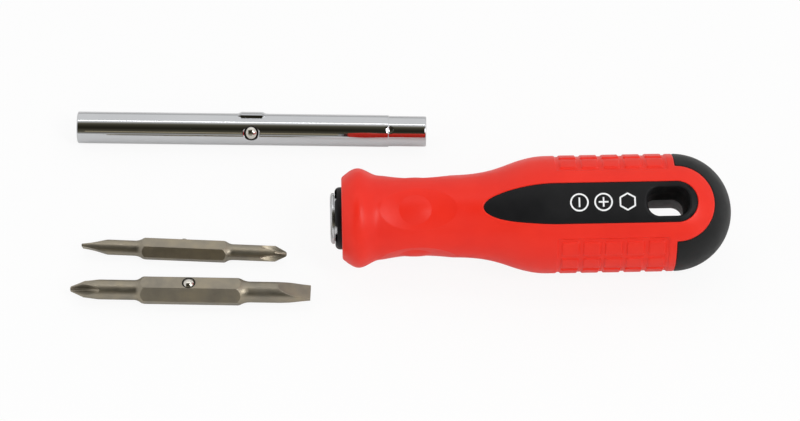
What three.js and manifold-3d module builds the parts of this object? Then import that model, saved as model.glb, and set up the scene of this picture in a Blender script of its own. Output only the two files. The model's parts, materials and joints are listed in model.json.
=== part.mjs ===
// A six-in-one screwdriver taken apart on a table: a handle, a hollow shaft and two double-ended bits.
// Millimetres, +Z up, +X from the handle's mouth towards its butt. The origin is on the table, at the
// middle of the layout.
import * as THREE from "three";
import { mergeVertices } from "three/addons/utils/BufferGeometryUtils.js";
import Module from "manifold-3d";

const wasm = await Module();
wasm.setup();

// Handle: lengths along the axis are measured from the front face of the ferrule
const HANDLE_LENGTH = 124.8;
const GRIP_RADIUS = 18.3; // barrel of the grip, and the round end of the butt
const NOSE_RADIUS = 12.66; // rim of the grip's front face
const FLARE_RADIUS = 15.5; // finger guard behind the front face
const NECK_RADIUS = 12.85; // waist between the guard and the barrel, before the scoops
const FLARE_AT = 8.7;
const NECK_AT = 29.5;
const GRIP_AT = 67; // where the barrel begins
const NOSE_SLOPE = 0.85; // of the outline where it leaves the front face
const GUARD_BACK = { behind: 6.2, above: 0.3, slope: -0.12 }; // from the guard's crest, and over the waist
const RISE_START = { before: 19.4, above: 0.75, slope: 0.18 }; // from the barrel, and over the waist
const RISE_MIDDLE = { before: 12, below: 2.6, slope: 0.375 }; // from the barrel, and under it
const SLEEVE_WALL = 2.6; // soft grip over the core, on the barrel
const SEAM_GAP = 0.25; // between the soft grip and the core
const CORE_NECK = 14; // the core is straight this far behind the waist
const CORE_LEAD = 1; // the core's barrel begins this far before the grip's

// Thumb scoops round the neck, each with a low round button in its middle
const SCOOP_COUNT = 4;
const SCOOP_AT = 27.3;
const SCOOP_LENGTH = 23.7;
const SCOOP_WIDTH = 14;
const SCOOP_DEPTH = 1.15;
const BUTTON_DIAMETER = 10;
const BUTTON_RISE = 0.65; // crown of the button above the scoop's floor

// Square pads in rows on both sides of the grip
const PAD_ROWS = 5;
const PAD_COLUMNS = 5;
const PAD_PITCH = 6.67;
const PAD_GAP = 1.37;
const PAD_RISE = 0.1; // pads above the smooth barrel
const PAD_GROOVE = 0.3; // grooves below the smooth barrel
const PAD_MARGIN = 3.5; // last pad to the butt's seam
const PAD_ROOT = 0.8; // pads reach this far into the grip under the grooves

// Inlay: the core shows through a long window on two opposite faces of the grip
const INLAY_HALF_WIDTH = 6.4;
const INLAY_TIP_AT = 47.3;
const INLAY_TAPER = 23; // length of the pointed part
const INLAY_POINT = 0.64; // share of the half width at which the point's blunt end lets go
const INLAY_BEND = 0.58; // share of the taper at which its sides bend to straight
const TONGUE_RADIUS = 11.9; // round end of the soft grip, round the inlay

// Hanging hole through the inlay
const HOLE_LENGTH = 12.9;
const HOLE_WIDTH = 8.9;
const HOLE_CORNER = 3.8;
const HOLE_DRAFT = 0.55; // each side narrows by this much at mid depth
const HOLE_LAP = 0.3; // each half of the hole passes mid depth by this much
const HOLE_BACK = 2.7; // from the middle of the butt's round to the middle of the hole

// Ferrule in the handle's mouth
const FLANGE_RADIUS = 7.93;
const FLANGE_THICKNESS = 1.25;
const FERRULE_RADIUS = 7.1;
const FERRULE_LENGTH = 16;
const FERRULE_GAP = 0.2; // ferrule to the core
const COLLAR_RADIUS = 9.7; // nose of the core, in front of the soft grip
const COLLAR_LENGTH = 2.15;
const COLLAR_CHAMFER = 0.9;
const NOTCH_COUNT = 4; // notches in the collar's front face
const NOTCH_WIDTH = 5.6;
const NOTCH_DEPTH = 0.7;
const MOUTH_BEVEL = 0.5;
const BALL_GROOVE_HALF = 1.5; // groove in the ferrule that the shaft's ball snaps into
const BALL_GROOVE_WALL = 0.75; // steel left behind the groove
const BORE_END_GAP = 2.6; // room in the handle behind a bit's point
const DRILL_ANGLE = 118; // cone at the end of the bore, in degrees

// Shaft
const SHAFT_LENGTH = 113;
const SHAFT_RADIUS = 5.15;
const SHAFT_END_RADIUS = 4.9; // drawn-down end that holds the small bit
const SHAFT_END_LENGTH = 12.4;
const SHAFT_STEP = 0.5; // length of the slope down to that end
const SHAFT_EDGE = 0.45; // bevel of both ends
const SHAFT_FIT = 0.27; // shaft in the handle's bore
const SOCKET_FIT = 0.16; // bit in its hexagonal socket, across the flats
const EAR_RADIUS = 5.7; // pinched ear at mid length
const EAR_LENGTH = 9.2;
const EAR_WIDTH = 4.33;
const EAR_RAMP = 1.2;
const EAR_ROOT = 0.3; // the ear reaches this far under the floor of the flats beside it
const POCKET_FLOOR = 4.26; // pressed flats beside the ear, from the axis
const POCKET_WIDTH = 1.7;
const PUNCH_AT = 11.6; // punch mark that catches the small bit's ball, from the drawn-down end
const PUNCH_RADIUS = 1.2;
const PUNCH_DEPTH = 0.4;
const PUNCH_TURN = -19; // round the shaft from its ball, in degrees
const PLUG_LENGTH = 7.2;
const PLUG_FIT = 0.3;

// Detents: a sprung ball under a staked lip, at a place along the axis from mid length
const BALL_LIP_GAP = 0.06;
const BALL_HOLE_FIT = 0.09;
const SPRING_END_GAP = 0.15;
const SHAFT_DETENT = {
  at: 0,
  ball: 2.38,
  lip: 2.28,
  lipThickness: 0.83,
  depth: 8.1,
  spring: { wire: 0.45, coil: 1.6, turns: 3.6 },
};
const LARGE_DETENT = {
  at: -0.85,
  ball: 2.0,
  lip: 1.88,
  lipThickness: 0.27,
  depth: 6.7,
  spring: { wire: 0.4, coil: 1.4, turns: 3.35 },
};
const SMALL_DETENT = {
  at: 0,
  ball: 1.5,
  lip: 1.4,
  lipThickness: 0.245,
  depth: 5.3,
  spring: { wire: 0.35, coil: 1.0, turns: 2.7 },
};

// Bits: hexagonal in the middle, a cross point at -X and a flat blade at +X
const LARGE_BIT = {
  flats: 7.94,
  hexLength: 31.6,
  shoulder: 2.4,
  crossEnd: {
    length: 22.1,
    radius: 3.1,
    coneLength: 4.3,
    coneRadius: 2.75,
    nose: 0.8,
    flute: 9.4,
    root: 0.6,
  },
  bladeEnd: { length: 21.1, radius: 3.25, bladeLength: 10.2, tipRadius: 2.75, tipThickness: 1.0 },
};
const SMALL_BIT = {
  flats: 6.35,
  hexLength: 26.9,
  shoulder: 2.2,
  crossEnd: {
    length: 19,
    radius: 2.5,
    coneLength: 3.6,
    coneRadius: 2.4,
    nose: 0.62,
    flute: 8.2,
    root: 0.5,
  },
  bladeEnd: { length: 18.6, radius: 2.4, bladeLength: 8.2, tipRadius: 2.25, tipThickness: 0.8 },
};
const FLUTE_COUNT = 4;
const FLUTE_ANGLE = 112; // between the two walls of a flute, in degrees
const CHAMFER_ANGLE = 30; // turned bevel at both ends of the hexagon, in degrees
const FILLET_SHARE = 0.35; // where the hollow between the hexagon and a shank changes slope

// Places on the table: turns are in degrees, roll about the piece's own axis and yaw about +Z
const HANDLE_PLACE = { x: -21.7, y: -19.2, roll: 29.5, yaw: 1.36 };
const SHAFT_PLACE = { x: -48, y: 30.4, roll: 57.5, yaw: -0.94 };
const LARGE_BIT_PLACE = { x: -64.7, y: -36.6, roll: 0, yaw: -1.26 };
const SMALL_BIT_PLACE = { x: -68, y: -19.3, roll: 60, yaw: 177 }; // its blade points the other way

// Facets round a full turn
const HANDLE_FACETS = 40;
const STEEL_FACETS = 32;
const BIT_FACETS = 24;
const BALL_FACETS = 14;
const SPRING_FACETS = 8; // steps in each turn of a spring
const WIRE_FACETS = 6;
const CURVE_STEPS = 4; // each curve of the handle's outline
const ARC_STEPS = 5; // each round stretch of an inlay or seam outline, counted twice over
const CORNER_STEPS = 2; // each corner of the hanging hole, counted twice over
const PAD_STEPS = 1; // each pad's curve round the grip, counted twice over
const NECK_STEP = 2.2; // rings of the neck, where the scoops are

const CUT = 60; // reach of a cutter that passes right through
const OVERCUT = 1; // reach of a cutter past the face that it opens
const SLIVER = 0.005; // edges shorter than this are closed up after a cut
const buttCentre = HANDLE_LENGTH - GRIP_RADIUS;
const gripFront = FLANGE_THICKNESS + FERRULE_GAP + COLLAR_LENGTH;
const boreRadius = SHAFT_RADIUS + SHAFT_FIT;
const seatDepth = EAR_LENGTH + FERRULE_GAP; // how far the ear goes into the ferrule
const insertion = SHAFT_LENGTH / 2 + EAR_LENGTH / 2; // of the shaft into the handle
const longestPoint = Math.max(LARGE_BIT.crossEnd.length, LARGE_BIT.bladeEnd.length);
const boreDepth = insertion + longestPoint + BORE_END_GAP;
const radians = THREE.MathUtils.degToRad;

// Solids

function manifold(vertProperties, triangles) {
  const triVerts = new Uint32Array(triangles);
  return new wasm.Manifold(new wasm.Mesh({ numProp: 3, vertProperties, triVerts }));
}

function solid(geometry) {
  const bare = new THREE.BufferGeometry();
  bare.setAttribute("position", geometry.getAttribute("position"));
  bare.setIndex(geometry.index);
  const merged = mergeVertices(bare);
  const corners = merged.index.array;
  const triangles = [];
  for (let i = 0; i < corners.length; i += 3) {
    const [a, b, c] = corners.slice(i, i + 3);
    if (a !== b && b !== c && c !== a) {
      triangles.push(a, b, c);
    }
  }
  const vertProperties = new Float32Array(merged.getAttribute("position").array);
  const made = manifold(vertProperties, triangles);
  const facesOut = made.volume() > 0;
  return facesOut ? made : manifold(vertProperties, triangles.reverse());
}

function geometry(made) {
  const { vertProperties, triVerts } = made.simplify(SLIVER).getMesh();
  const result = new THREE.BufferGeometry();
  result.setAttribute("position", new THREE.BufferAttribute(new Float32Array(vertProperties), 3));
  result.setIndex(new THREE.BufferAttribute(new Uint32Array(triVerts), 1));
  result.computeVertexNormals();
  return result;
}

// Joins many solids into one.
function join(solids) {
  return solids.reduce((all, next) => all.add(next));
}

// A profile of [along, radius] points turned round the X axis.
function turned(profile, facets) {
  const points = profile.map(([along, radius]) => new THREE.Vector2(radius, along));
  return new THREE.LatheGeometry(points, facets).rotateZ(-Math.PI / 2);
}

function turnedSolid(profile, facets) {
  return solid(turned(profile, facets));
}

function rod(from, to, radius, facets = STEEL_FACETS) {
  return turnedSolid([[from, 0], [from, radius], [to, radius], [to, 0]], facets);
}

// A round rod along Z, from one height to another.
function post(from, to, radius, facets = STEEL_FACETS) {
  const made = new THREE.CylinderGeometry(radius, radius, to - from, facets);
  return solid(made.rotateX(Math.PI / 2).translate(0, 0, (from + to) / 2));
}

function block(low, high) {
  const size = high.map((value, axis) => value - low[axis]);
  const middle = high.map((value, axis) => (value + low[axis]) / 2);
  return solid(new THREE.BoxGeometry(...size).translate(...middle));
}

// A flat shape drawn in X and Y, raised along Z.
function slab(shape, from, to, curveSegments = ARC_STEPS) {
  const made = new THREE.ExtrudeGeometry(shape, { depth: to - from, bevelEnabled: false, curveSegments });
  return solid(made.translate(0, 0, from));
}

// A flat shape drawn in Y and Z, drawn out along X.
function bar(shape, from, to, curveSegments = ARC_STEPS) {
  const made = new THREE.ExtrudeGeometry(shape, { depth: to - from, bevelEnabled: false, curveSegments });
  const [x, y, z] = [0, 1, 2].map((axis) => new THREE.Vector3().setComponent(axis, 1));
  return solid(made.applyMatrix4(new THREE.Matrix4().makeBasis(y, z, x)).translate(from, 0, 0));
}

function polygon(points) {
  return new THREE.Shape(points.map(([x, y]) => new THREE.Vector2(x, y)));
}

// A hexagon with flats above and below.
function hexagon(flats) {
  const corner = flats / Math.sqrt(3);
  const corners = [0, 60, 120, 180, 240, 300].map(radians);
  return polygon(corners.map((turn) => [corner * Math.cos(turn), corner * Math.sin(turn)]));
}

function turnedAboutX(made, degrees) {
  return made.rotate([degrees, 0, 0]);
}

// Handle outline

// The outside of the whole handle behind the ferrule, as [along, radius] points. Smooth curves join stations
// that each have a place along the axis, a radius and a slope.
function handleOutline() {
  const stations = [
    { at: gripFront, radius: NOSE_RADIUS, slope: NOSE_SLOPE },
    { at: FLARE_AT, radius: FLARE_RADIUS, slope: 0 },
    { at: FLARE_AT + GUARD_BACK.behind, radius: NECK_RADIUS + GUARD_BACK.above, slope: GUARD_BACK.slope },
    { at: NECK_AT, radius: NECK_RADIUS, slope: 0 },
    { at: GRIP_AT - RISE_START.before, radius: NECK_RADIUS + RISE_START.above, slope: RISE_START.slope },
    { at: GRIP_AT - RISE_MIDDLE.before, radius: GRIP_RADIUS - RISE_MIDDLE.below, slope: RISE_MIDDLE.slope },
    { at: GRIP_AT, radius: GRIP_RADIUS, slope: 0 },
  ];
  const path = new THREE.Path();
  path.moveTo(gripFront, 0);
  path.lineTo(gripFront, NOSE_RADIUS);
  stations.slice(1).forEach((to, i) => {
    const from = stations[i];
    const third = (to.at - from.at) / 3;
    const leaving = [from.at + third, from.radius + third * from.slope];
    const reaching = [to.at - third, to.radius - third * to.slope];
    path.bezierCurveTo(...leaving, ...reaching, to.at, to.radius);
  });
  path.lineTo(buttCentre, GRIP_RADIUS);
  path.absarc(buttCentre, 0, GRIP_RADIUS, Math.PI / 2, 0, true);
  return path.getPoints(CURVE_STEPS).map((point) => [point.x, Math.max(0, point.y)]);
}

// How far the neck's surface is pressed in at a place, counted along the axis and round it.
function scoopDepth(along, turn) {
  const pitch = (2 * Math.PI) / SCOOP_COUNT;
  const across = (turn - pitch * Math.round(turn / pitch)) * NECK_RADIUS;
  const fromMiddle = along - SCOOP_AT;
  const oval = Math.hypot(fromMiddle / (SCOOP_LENGTH / 2), across / (SCOOP_WIDTH / 2));
  const round = Math.hypot(fromMiddle, across) / (BUTTON_DIAMETER / 2);
  return SCOOP_DEPTH * Math.max(0, 1 - oval ** 2) - BUTTON_RISE * Math.max(0, 1 - round ** 2);
}

// The outside of the handle with its thumb scoops pressed into the neck.
function handleBody() {
  const outline = handleOutline();
  const fine = [];
  outline.forEach(([along, radius], i) => {
    if (i > 0) {
      const [lastAlong, lastRadius] = outline[i - 1];
      const inNeck = along > SCOOP_AT - SCOOP_LENGTH / 2 && lastAlong < SCOOP_AT + SCOOP_LENGTH / 2;
      const steps = inNeck ? Math.ceil((along - lastAlong) / NECK_STEP) : 1;
      for (let k = 1; k < steps; k++) {
        const share = k / steps;
        fine.push([lastAlong + share * (along - lastAlong), lastRadius + share * (radius - lastRadius)]);
      }
    }
    fine.push([along, radius]);
  });
  const made = turned(fine, HANDLE_FACETS);
  const place = made.getAttribute("position");
  for (let i = 0; i < place.count; i++) {
    const [along, y, z] = [place.getX(i), place.getY(i), place.getZ(i)];
    const radius = Math.hypot(y, z);
    if (radius > NECK_RADIUS / 2) {
      const share = 1 - scoopDepth(along, Math.atan2(y, z)) / radius;
      place.setXYZ(i, along, y * share, z * share);
    }
  }
  return solid(made);
}

// The pointed window of the inlay, widened by a margin.
function inlayShape(margin) {
  const half = INLAY_HALF_WIDTH + margin;
  const tip = INLAY_TIP_AT - margin;
  const full = INLAY_TIP_AT + INLAY_TAPER;
  const bend = tip + INLAY_BEND * INLAY_TAPER;
  const blunt = INLAY_POINT * half;
  const shape = new THREE.Shape();
  shape.moveTo(tip, 0);
  shape.bezierCurveTo(tip, -blunt, bend, -half, full, -half);
  shape.lineTo(buttCentre, -half);
  shape.absarc(buttCentre, 0, half, -Math.PI / 2, Math.PI / 2, false);
  shape.lineTo(full, half);
  shape.bezierCurveTo(bend, half, tip, blunt, tip, 0);
  return shape;
}

// The butt's seam seen from the inlay's side: straight across, with a round tongue of soft grip.
function tongueShape(margin) {
  const radius = TONGUE_RADIUS - margin;
  const shape = new THREE.Shape();
  shape.moveTo(gripFront - CUT, -CUT);
  shape.lineTo(buttCentre - margin, -CUT);
  shape.lineTo(buttCentre - margin, -radius);
  shape.lineTo(buttCentre, -radius);
  shape.absarc(buttCentre, 0, radius, -Math.PI / 2, Math.PI / 2, false);
  shape.lineTo(buttCentre - margin, radius);
  shape.lineTo(buttCentre - margin, CUT);
  shape.lineTo(gripFront - CUT, CUT);
  return shape;
}

// The core under the soft grip, thickened by a margin, as a turned profile.
function corePlug(margin) {
  const barrel = GRIP_RADIUS - SLEEVE_WALL + margin;
  const neck = COLLAR_RADIUS + margin;
  const path = new THREE.Path();
  path.moveTo(gripFront - COLLAR_LENGTH, 0);
  path.lineTo(gripFront - COLLAR_LENGTH, neck - COLLAR_CHAMFER);
  path.lineTo(gripFront - COLLAR_LENGTH + COLLAR_CHAMFER, neck);
  path.lineTo(NECK_AT + CORE_NECK, neck);
  path.lineTo(GRIP_AT - CORE_LEAD, barrel);
  path.lineTo(buttCentre, barrel);
  path.absarc(buttCentre, 0, barrel, Math.PI / 2, 0, true);
  const profile = path.getPoints(CURVE_STEPS).map((point) => [point.x, Math.max(0, point.y)]);
  return turnedSolid(profile, HANDLE_FACETS);
}

// Soft grip

// One side's field of pads: the ground they stand in, and the pads.
function padField(side) {
  const length = PAD_COLUMNS * PAD_PITCH + PAD_GAP;
  const end = buttCentre - PAD_MARGIN + PAD_GAP;
  const rowTurn = PAD_PITCH / GRIP_RADIUS;
  const gapTurn = PAD_GAP / GRIP_RADIUS;
  const sector = (middle, spread, inner, outer) => {
    const shape = new THREE.Shape();
    shape.absarc(0, 0, outer, middle - spread / 2, middle + spread / 2, false);
    shape.absarc(0, 0, inner, middle + spread / 2, middle - spread / 2, true);
    return shape;
  };
  const floor = GRIP_RADIUS - PAD_GROOVE;
  const ground = bar(
    sector(side, PAD_ROWS * rowTurn + gapTurn, floor, GRIP_RADIUS + OVERCUT),
    end - length,
    end,
  );
  const pads = [];
  for (let row = 0; row < PAD_ROWS; row++) {
    const middle = side + (row - (PAD_ROWS - 1) / 2) * rowTurn;
    const shape = sector(middle, rowTurn - gapTurn, floor - PAD_ROOT, GRIP_RADIUS + PAD_RISE);
    for (let column = 0; column < PAD_COLUMNS; column++) {
      const from = end - length + PAD_GAP + column * PAD_PITCH;
      pads.push(bar(shape, from, from + PAD_PITCH - PAD_GAP, PAD_STEPS));
    }
  }
  return { ground, pads: join(pads) };
}

function gripSleeve(body) {
  let made = body;
  for (const side of [0, Math.PI]) {
    const field = padField(side);
    made = made.subtract(field.ground).add(field.pads);
  }
  return made
    .intersect(slab(tongueShape(SEAM_GAP / 2), -CUT, CUT))
    .subtract(slab(inlayShape(SEAM_GAP / 2), -CUT, CUT))
    .subtract(rod(0, gripFront + OVERCUT, COLLAR_RADIUS + SEAM_GAP, HANDLE_FACETS))
    .subtract(corePlug(SEAM_GAP));
}

// Core

// Half of the hanging hole, narrowing from one face of the handle to mid depth.
function holeHalf(direction) {
  const shape = new THREE.Shape();
  const [x, y] = [HOLE_LENGTH / 2 - HOLE_DRAFT, HOLE_WIDTH / 2 - HOLE_DRAFT];
  const corner = HOLE_CORNER - HOLE_DRAFT;
  shape.moveTo(-x + corner, -y);
  shape.lineTo(x - corner, -y);
  shape.absarc(x - corner, -y + corner, corner, -Math.PI / 2, 0, false);
  shape.lineTo(x, y - corner);
  shape.absarc(x - corner, y - corner, corner, 0, Math.PI / 2, false);
  shape.lineTo(-x + corner, y);
  shape.absarc(-x + corner, y - corner, corner, Math.PI / 2, Math.PI, false);
  shape.lineTo(-x, -y + corner);
  shape.absarc(-x + corner, -y + corner, corner, Math.PI, 1.5 * Math.PI, false);
  const made = new THREE.ExtrudeGeometry(shape, {
    depth: CUT,
    bevelThickness: GRIP_RADIUS,
    bevelSize: HOLE_DRAFT,
    bevelSegments: 1,
    curveSegments: CORNER_STEPS,
  });
  const upright = made.translate(buttCentre - HOLE_BACK, 0, GRIP_RADIUS - HOLE_LAP);
  return turnedAboutX(solid(upright), direction > 0 ? 0 : 180);
}

function handleCore(body) {
  const shown = slab(inlayShape(-SEAM_GAP / 2), -CUT, CUT);
  const butt = body.subtract(slab(tongueShape(-SEAM_GAP / 2), -CUT, CUT));
  const panels = body.intersect(shown);
  const boreEnd = boreDepth + boreRadius / Math.tan(radians(DRILL_ANGLE / 2));
  const bore = turnedSolid(
    [[-OVERCUT, 0], [-OVERCUT, boreRadius], [boreDepth, boreRadius], [boreEnd, 0]],
    STEEL_FACETS,
  );
  const seat = rod(-OVERCUT, FERRULE_LENGTH + FERRULE_GAP, FERRULE_RADIUS + FERRULE_GAP);
  const collarFace = gripFront - COLLAR_LENGTH;
  const notch = block(
    [collarFace - OVERCUT, -NOTCH_WIDTH / 2, 0],
    [collarFace + NOTCH_DEPTH, NOTCH_WIDTH / 2, CUT],
  );
  let made = join([corePlug(0), panels, butt]).subtract(bore).subtract(seat);
  for (let i = 0; i < NOTCH_COUNT; i++) {
    made = made.subtract(turnedAboutX(notch, ((i + 0.5) * 360) / NOTCH_COUNT));
  }
  return made.subtract(holeHalf(1)).subtract(holeHalf(-1));
}

// Ferrule

// A flanged bush with a slot for the shaft's ear and a groove for the shaft's ball.
function ferrule() {
  const grooveAt = EAR_LENGTH / 2;
  const grooveRadius = FERRULE_RADIUS - BALL_GROOVE_WALL;
  const mouthRadius = boreRadius + MOUTH_BEVEL;
  const rim = MOUTH_BEVEL / 2;
  const back = FERRULE_LENGTH + OVERCUT;
  const outside = turnedSolid(
    [
      [0, 0], [0, FLANGE_RADIUS - rim], [rim, FLANGE_RADIUS], [FLANGE_THICKNESS, FLANGE_RADIUS],
      [FLANGE_THICKNESS, FERRULE_RADIUS], [FERRULE_LENGTH, FERRULE_RADIUS], [FERRULE_LENGTH, 0],
    ],
    STEEL_FACETS,
  );
  const inside = turnedSolid(
    [
      [-OVERCUT, 0], [-OVERCUT, mouthRadius], [0, mouthRadius], [MOUTH_BEVEL, boreRadius],
      [grooveAt - BALL_GROOVE_HALF, boreRadius], [grooveAt, grooveRadius],
      [grooveAt + BALL_GROOVE_HALF, boreRadius], [back, boreRadius], [back, 0],
    ],
    STEEL_FACETS,
  );
  const slotHalf = EAR_WIDTH / 2 + SHAFT_FIT;
  const slotReach = EAR_RADIUS + SHAFT_FIT;
  const slot = block([-OVERCUT, 0, -slotHalf], [seatDepth, slotReach, slotHalf]);
  return outside.subtract(inside).subtract(slot);
}

// Detents

// Where a ball's middle lies under its lip, measured from the axis that it springs out from.
function ballHeight(detent, surface) {
  const reach = detent.ball + BALL_LIP_GAP;
  return surface - detent.lipThickness - Math.sqrt(reach ** 2 - detent.lip ** 2);
}

// The hole for a ball and its spring, open at the top through a narrower lip.
function detentHole(detent, surface, facets) {
  const floor = surface - detent.depth;
  const wide = post(floor, surface - detent.lipThickness, detent.ball + BALL_HOLE_FIT, facets);
  const narrow = post(surface - detent.depth / 2, surface + CUT, detent.lip, facets);
  return wide.add(narrow).translate([detent.at, 0, 0]);
}

function ball(detent, surface) {
  const made = new THREE.SphereGeometry(detent.ball, BALL_FACETS, BALL_FACETS / 2 + 1);
  return solid(made.rotateX(Math.PI / 2).translate(detent.at, 0, ballHeight(detent, surface)));
}

class Coil extends THREE.Curve {
  constructor(radius, turns, from, to) {
    super();
    Object.assign(this, { radius, turns, from, to });
  }

  getPoint(share, target = new THREE.Vector3()) {
    const turn = 2 * Math.PI * this.turns * share;
    const height = this.from + (this.to - this.from) * share;
    return target.set(this.radius * Math.cos(turn), this.radius * Math.sin(turn), height);
  }
}

// The spring that stands on the hole's floor and carries the ball.
function detentSpring(name, detent, surface) {
  const { wire, coil, turns } = detent.spring;
  const from = surface - detent.depth + SPRING_END_GAP + wire / 2;
  const to = ballHeight(detent, surface) - detent.ball - SPRING_END_GAP - wire / 2;
  const path = new Coil(coil, turns, from, to);
  const steps = Math.round(SPRING_FACETS * turns);
  const section = new THREE.Shape();
  section.absarc(0, 0, wire / 2, 0, 2 * Math.PI, false);
  const options = { steps, extrudePath: path, curveSegments: WIRE_FACETS / 2 };
  const points = path.getPoints(steps);
  let least = Infinity;
  points.forEach((point, i) => {
    for (const other of points.slice(i + SPRING_FACETS / 2)) {
      least = Math.min(least, point.distanceTo(other) - wire);
    }
  });
  console.log(`${name}: least gap between turns ${least.toFixed(2)} mm`);
  return solid(new THREE.ExtrudeGeometry(section, options).translate(detent.at, 0, 0));
}

// Shaft

// The pinched ear on the +Y side, with the pressed flats beside it.
function ear() {
  const [half, top] = [EAR_LENGTH / 2, EAR_LENGTH / 2 - EAR_RAMP];
  const root = POCKET_FLOOR - EAR_ROOT;
  const crown = EAR_RADIUS + OVERCUT;
  const side = polygon([
    [-half, root], [half, root], [half, SHAFT_RADIUS], [top, crown], [-top, crown], [-half, SHAFT_RADIUS],
  ]);
  const ridge = slab(side, -EAR_WIDTH / 2, EAR_WIDTH / 2).intersect(rod(-half, half, EAR_RADIUS));
  const pockets = [1, -1].map((sign) => {
    const edges = [sign * (EAR_WIDTH / 2), sign * (EAR_WIDTH / 2 + POCKET_WIDTH)].sort((a, b) => a - b);
    return block([-top, POCKET_FLOOR, edges[0]], [top, SHAFT_RADIUS + OVERCUT, edges[1]]);
  });
  return { ridge, pockets: join(pockets) };
}

function shaftTube() {
  const [half, step] = [SHAFT_LENGTH / 2, SHAFT_LENGTH / 2 - SHAFT_END_LENGTH];
  const outside = turnedSolid(
    [
      [-half, 0], [-half, SHAFT_RADIUS - SHAFT_EDGE], [-half + SHAFT_EDGE, SHAFT_RADIUS],
      [step, SHAFT_RADIUS], [step + SHAFT_STEP, SHAFT_END_RADIUS], [half - SHAFT_EDGE, SHAFT_END_RADIUS],
      [half, SHAFT_END_RADIUS - SHAFT_EDGE], [half, 0],
    ],
    STEEL_FACETS,
  );
  const largeFlats = LARGE_BIT.flats + SOCKET_FIT;
  const smallFlats = SMALL_BIT.flats + SOCKET_FIT;
  const { ridge, pockets } = ear();
  const punch = new THREE.SphereGeometry(PUNCH_RADIUS, BALL_FACETS, BALL_FACETS / 2);
  const punchHeight = SHAFT_END_RADIUS + PUNCH_RADIUS - PUNCH_DEPTH;
  const mark = turnedAboutX(solid(punch.translate(half - PUNCH_AT, 0, punchHeight)), PUNCH_TURN);
  const ballSide = block([-CUT, -CUT, 0], [CUT, CUT, CUT]);
  const ballHole = detentHole(SHAFT_DETENT, SHAFT_RADIUS, STEEL_FACETS).intersect(ballSide);
  return outside
    .add(ridge)
    .subtract(pockets)
    .subtract(rod(-half + LARGE_BIT.hexLength, step, largeFlats / 2))
    .subtract(bar(hexagon(largeFlats), -half - OVERCUT, -half + LARGE_BIT.hexLength))
    .subtract(bar(hexagon(smallFlats), step - OVERCUT, half + OVERCUT))
    .subtract(ballHole)
    .subtract(mark);
}

// The slug in the middle of the shaft that stops both bits and houses the ball's spring.
function shaftPlug() {
  const radius = (LARGE_BIT.flats + SOCKET_FIT) / 2 - PLUG_FIT;
  const floor = SHAFT_RADIUS - SHAFT_DETENT.depth;
  const well = post(floor, CUT, SHAFT_DETENT.ball + BALL_HOLE_FIT, STEEL_FACETS);
  return rod(-PLUG_LENGTH / 2, PLUG_LENGTH / 2, radius).subtract(well);
}

// Bits

// The turned outside of a bit, before its flats, blade and flutes are cut.
function bitEnvelope(bit) {
  const { hexLength, shoulder, crossEnd, bladeEnd } = bit;
  const flat = bit.flats / 2;
  const corner = bit.flats / Math.sqrt(3);
  const chamfer = (corner - flat) / Math.tan(radians(CHAMFER_ANGLE));
  const half = hexLength / 2;
  const cross = -half - crossEnd.length;
  const blade = half + bladeEnd.length;
  const neck = shoulder * FILLET_SHARE;
  const crossNeck = crossEnd.radius + (flat - crossEnd.radius) * FILLET_SHARE;
  const bladeNeck = bladeEnd.radius + (flat - bladeEnd.radius) * FILLET_SHARE;
  return turnedSolid(
    [
      [cross, 0], [cross, crossEnd.nose], [cross + crossEnd.coneLength, crossEnd.coneRadius],
      [cross + crossEnd.flute, crossEnd.radius], [-half - shoulder, crossEnd.radius],
      [-half - neck, crossNeck], [-half, flat], [-half + chamfer, corner],
      [half - chamfer, corner], [half, flat], [half + neck, bladeNeck],
      [half + shoulder, bladeEnd.radius], [blade - bladeEnd.bladeLength, bladeEnd.radius],
      [blade, bladeEnd.tipRadius], [blade, 0],
    ],
    BIT_FACETS,
  );
}

// One flute of a cross point, rising from near the axis at the nose to the surface of the shank.
function flute(bit) {
  const { length, radius, flute: reach, root } = bit.crossEnd;
  const nose = -bit.hexLength / 2 - length;
  const spread = Math.tan(radians(FLUTE_ANGLE / 2)) * radius;
  const above = 2 * radius;
  const wedge = polygon([[0, 0], [spread, radius], [spread, above], [-spread, above], [-spread, radius]]);
  const tilt = -THREE.MathUtils.radToDeg(Math.atan((radius - root) / reach));
  return bar(wedge, -OVERCUT, 2 * reach).rotate([0, tilt, 0]).translate([nose, 0, root]);
}

// The material cut away above a flat blade.
function bladeCut(bit) {
  const { length, radius, bladeLength, tipThickness } = bit.bladeEnd;
  const tip = bit.hexLength / 2 + length;
  const start = tip - bladeLength;
  const [past, half] = [tip + OVERCUT, tipThickness / 2];
  const side = polygon([[start, radius], [tip, half], [past, half], [past, CUT], [start, CUT]]);
  return turnedAboutX(slab(side, -CUT, CUT), 90);
}

function bitBody(bit, detent) {
  const reach = bit.hexLength + bit.crossEnd.length + bit.bladeEnd.length;
  let made = bitEnvelope(bit).intersect(bar(hexagon(bit.flats), -reach, reach));
  for (let i = 0; i < FLUTE_COUNT; i++) {
    made = made.subtract(turnedAboutX(flute(bit), ((i + 0.5) * 360) / FLUTE_COUNT));
  }
  const cut = bladeCut(bit);
  return made
    .subtract(cut)
    .subtract(turnedAboutX(cut, 180))
    .subtract(detentHole(detent, bit.flats / 2, BIT_FACETS));
}

// Assembly

const finishes = {
  red_grip: { color: 0xe63226, roughness: 0.55, metalness: 0 },
  black_core: { color: 0x1e1e20, roughness: 0.45, metalness: 0 },
  chrome: { color: 0xdcdde0, roughness: 0.12, metalness: 1 },
  bit_steel: { color: 0x8c867c, roughness: 0.4, metalness: 1 },
  ball_steel: { color: 0xd8d6d0, roughness: 0.15, metalness: 1 },
  spring_steel: { color: 0xb4b4b2, roughness: 0.3, metalness: 1 },
};

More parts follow.
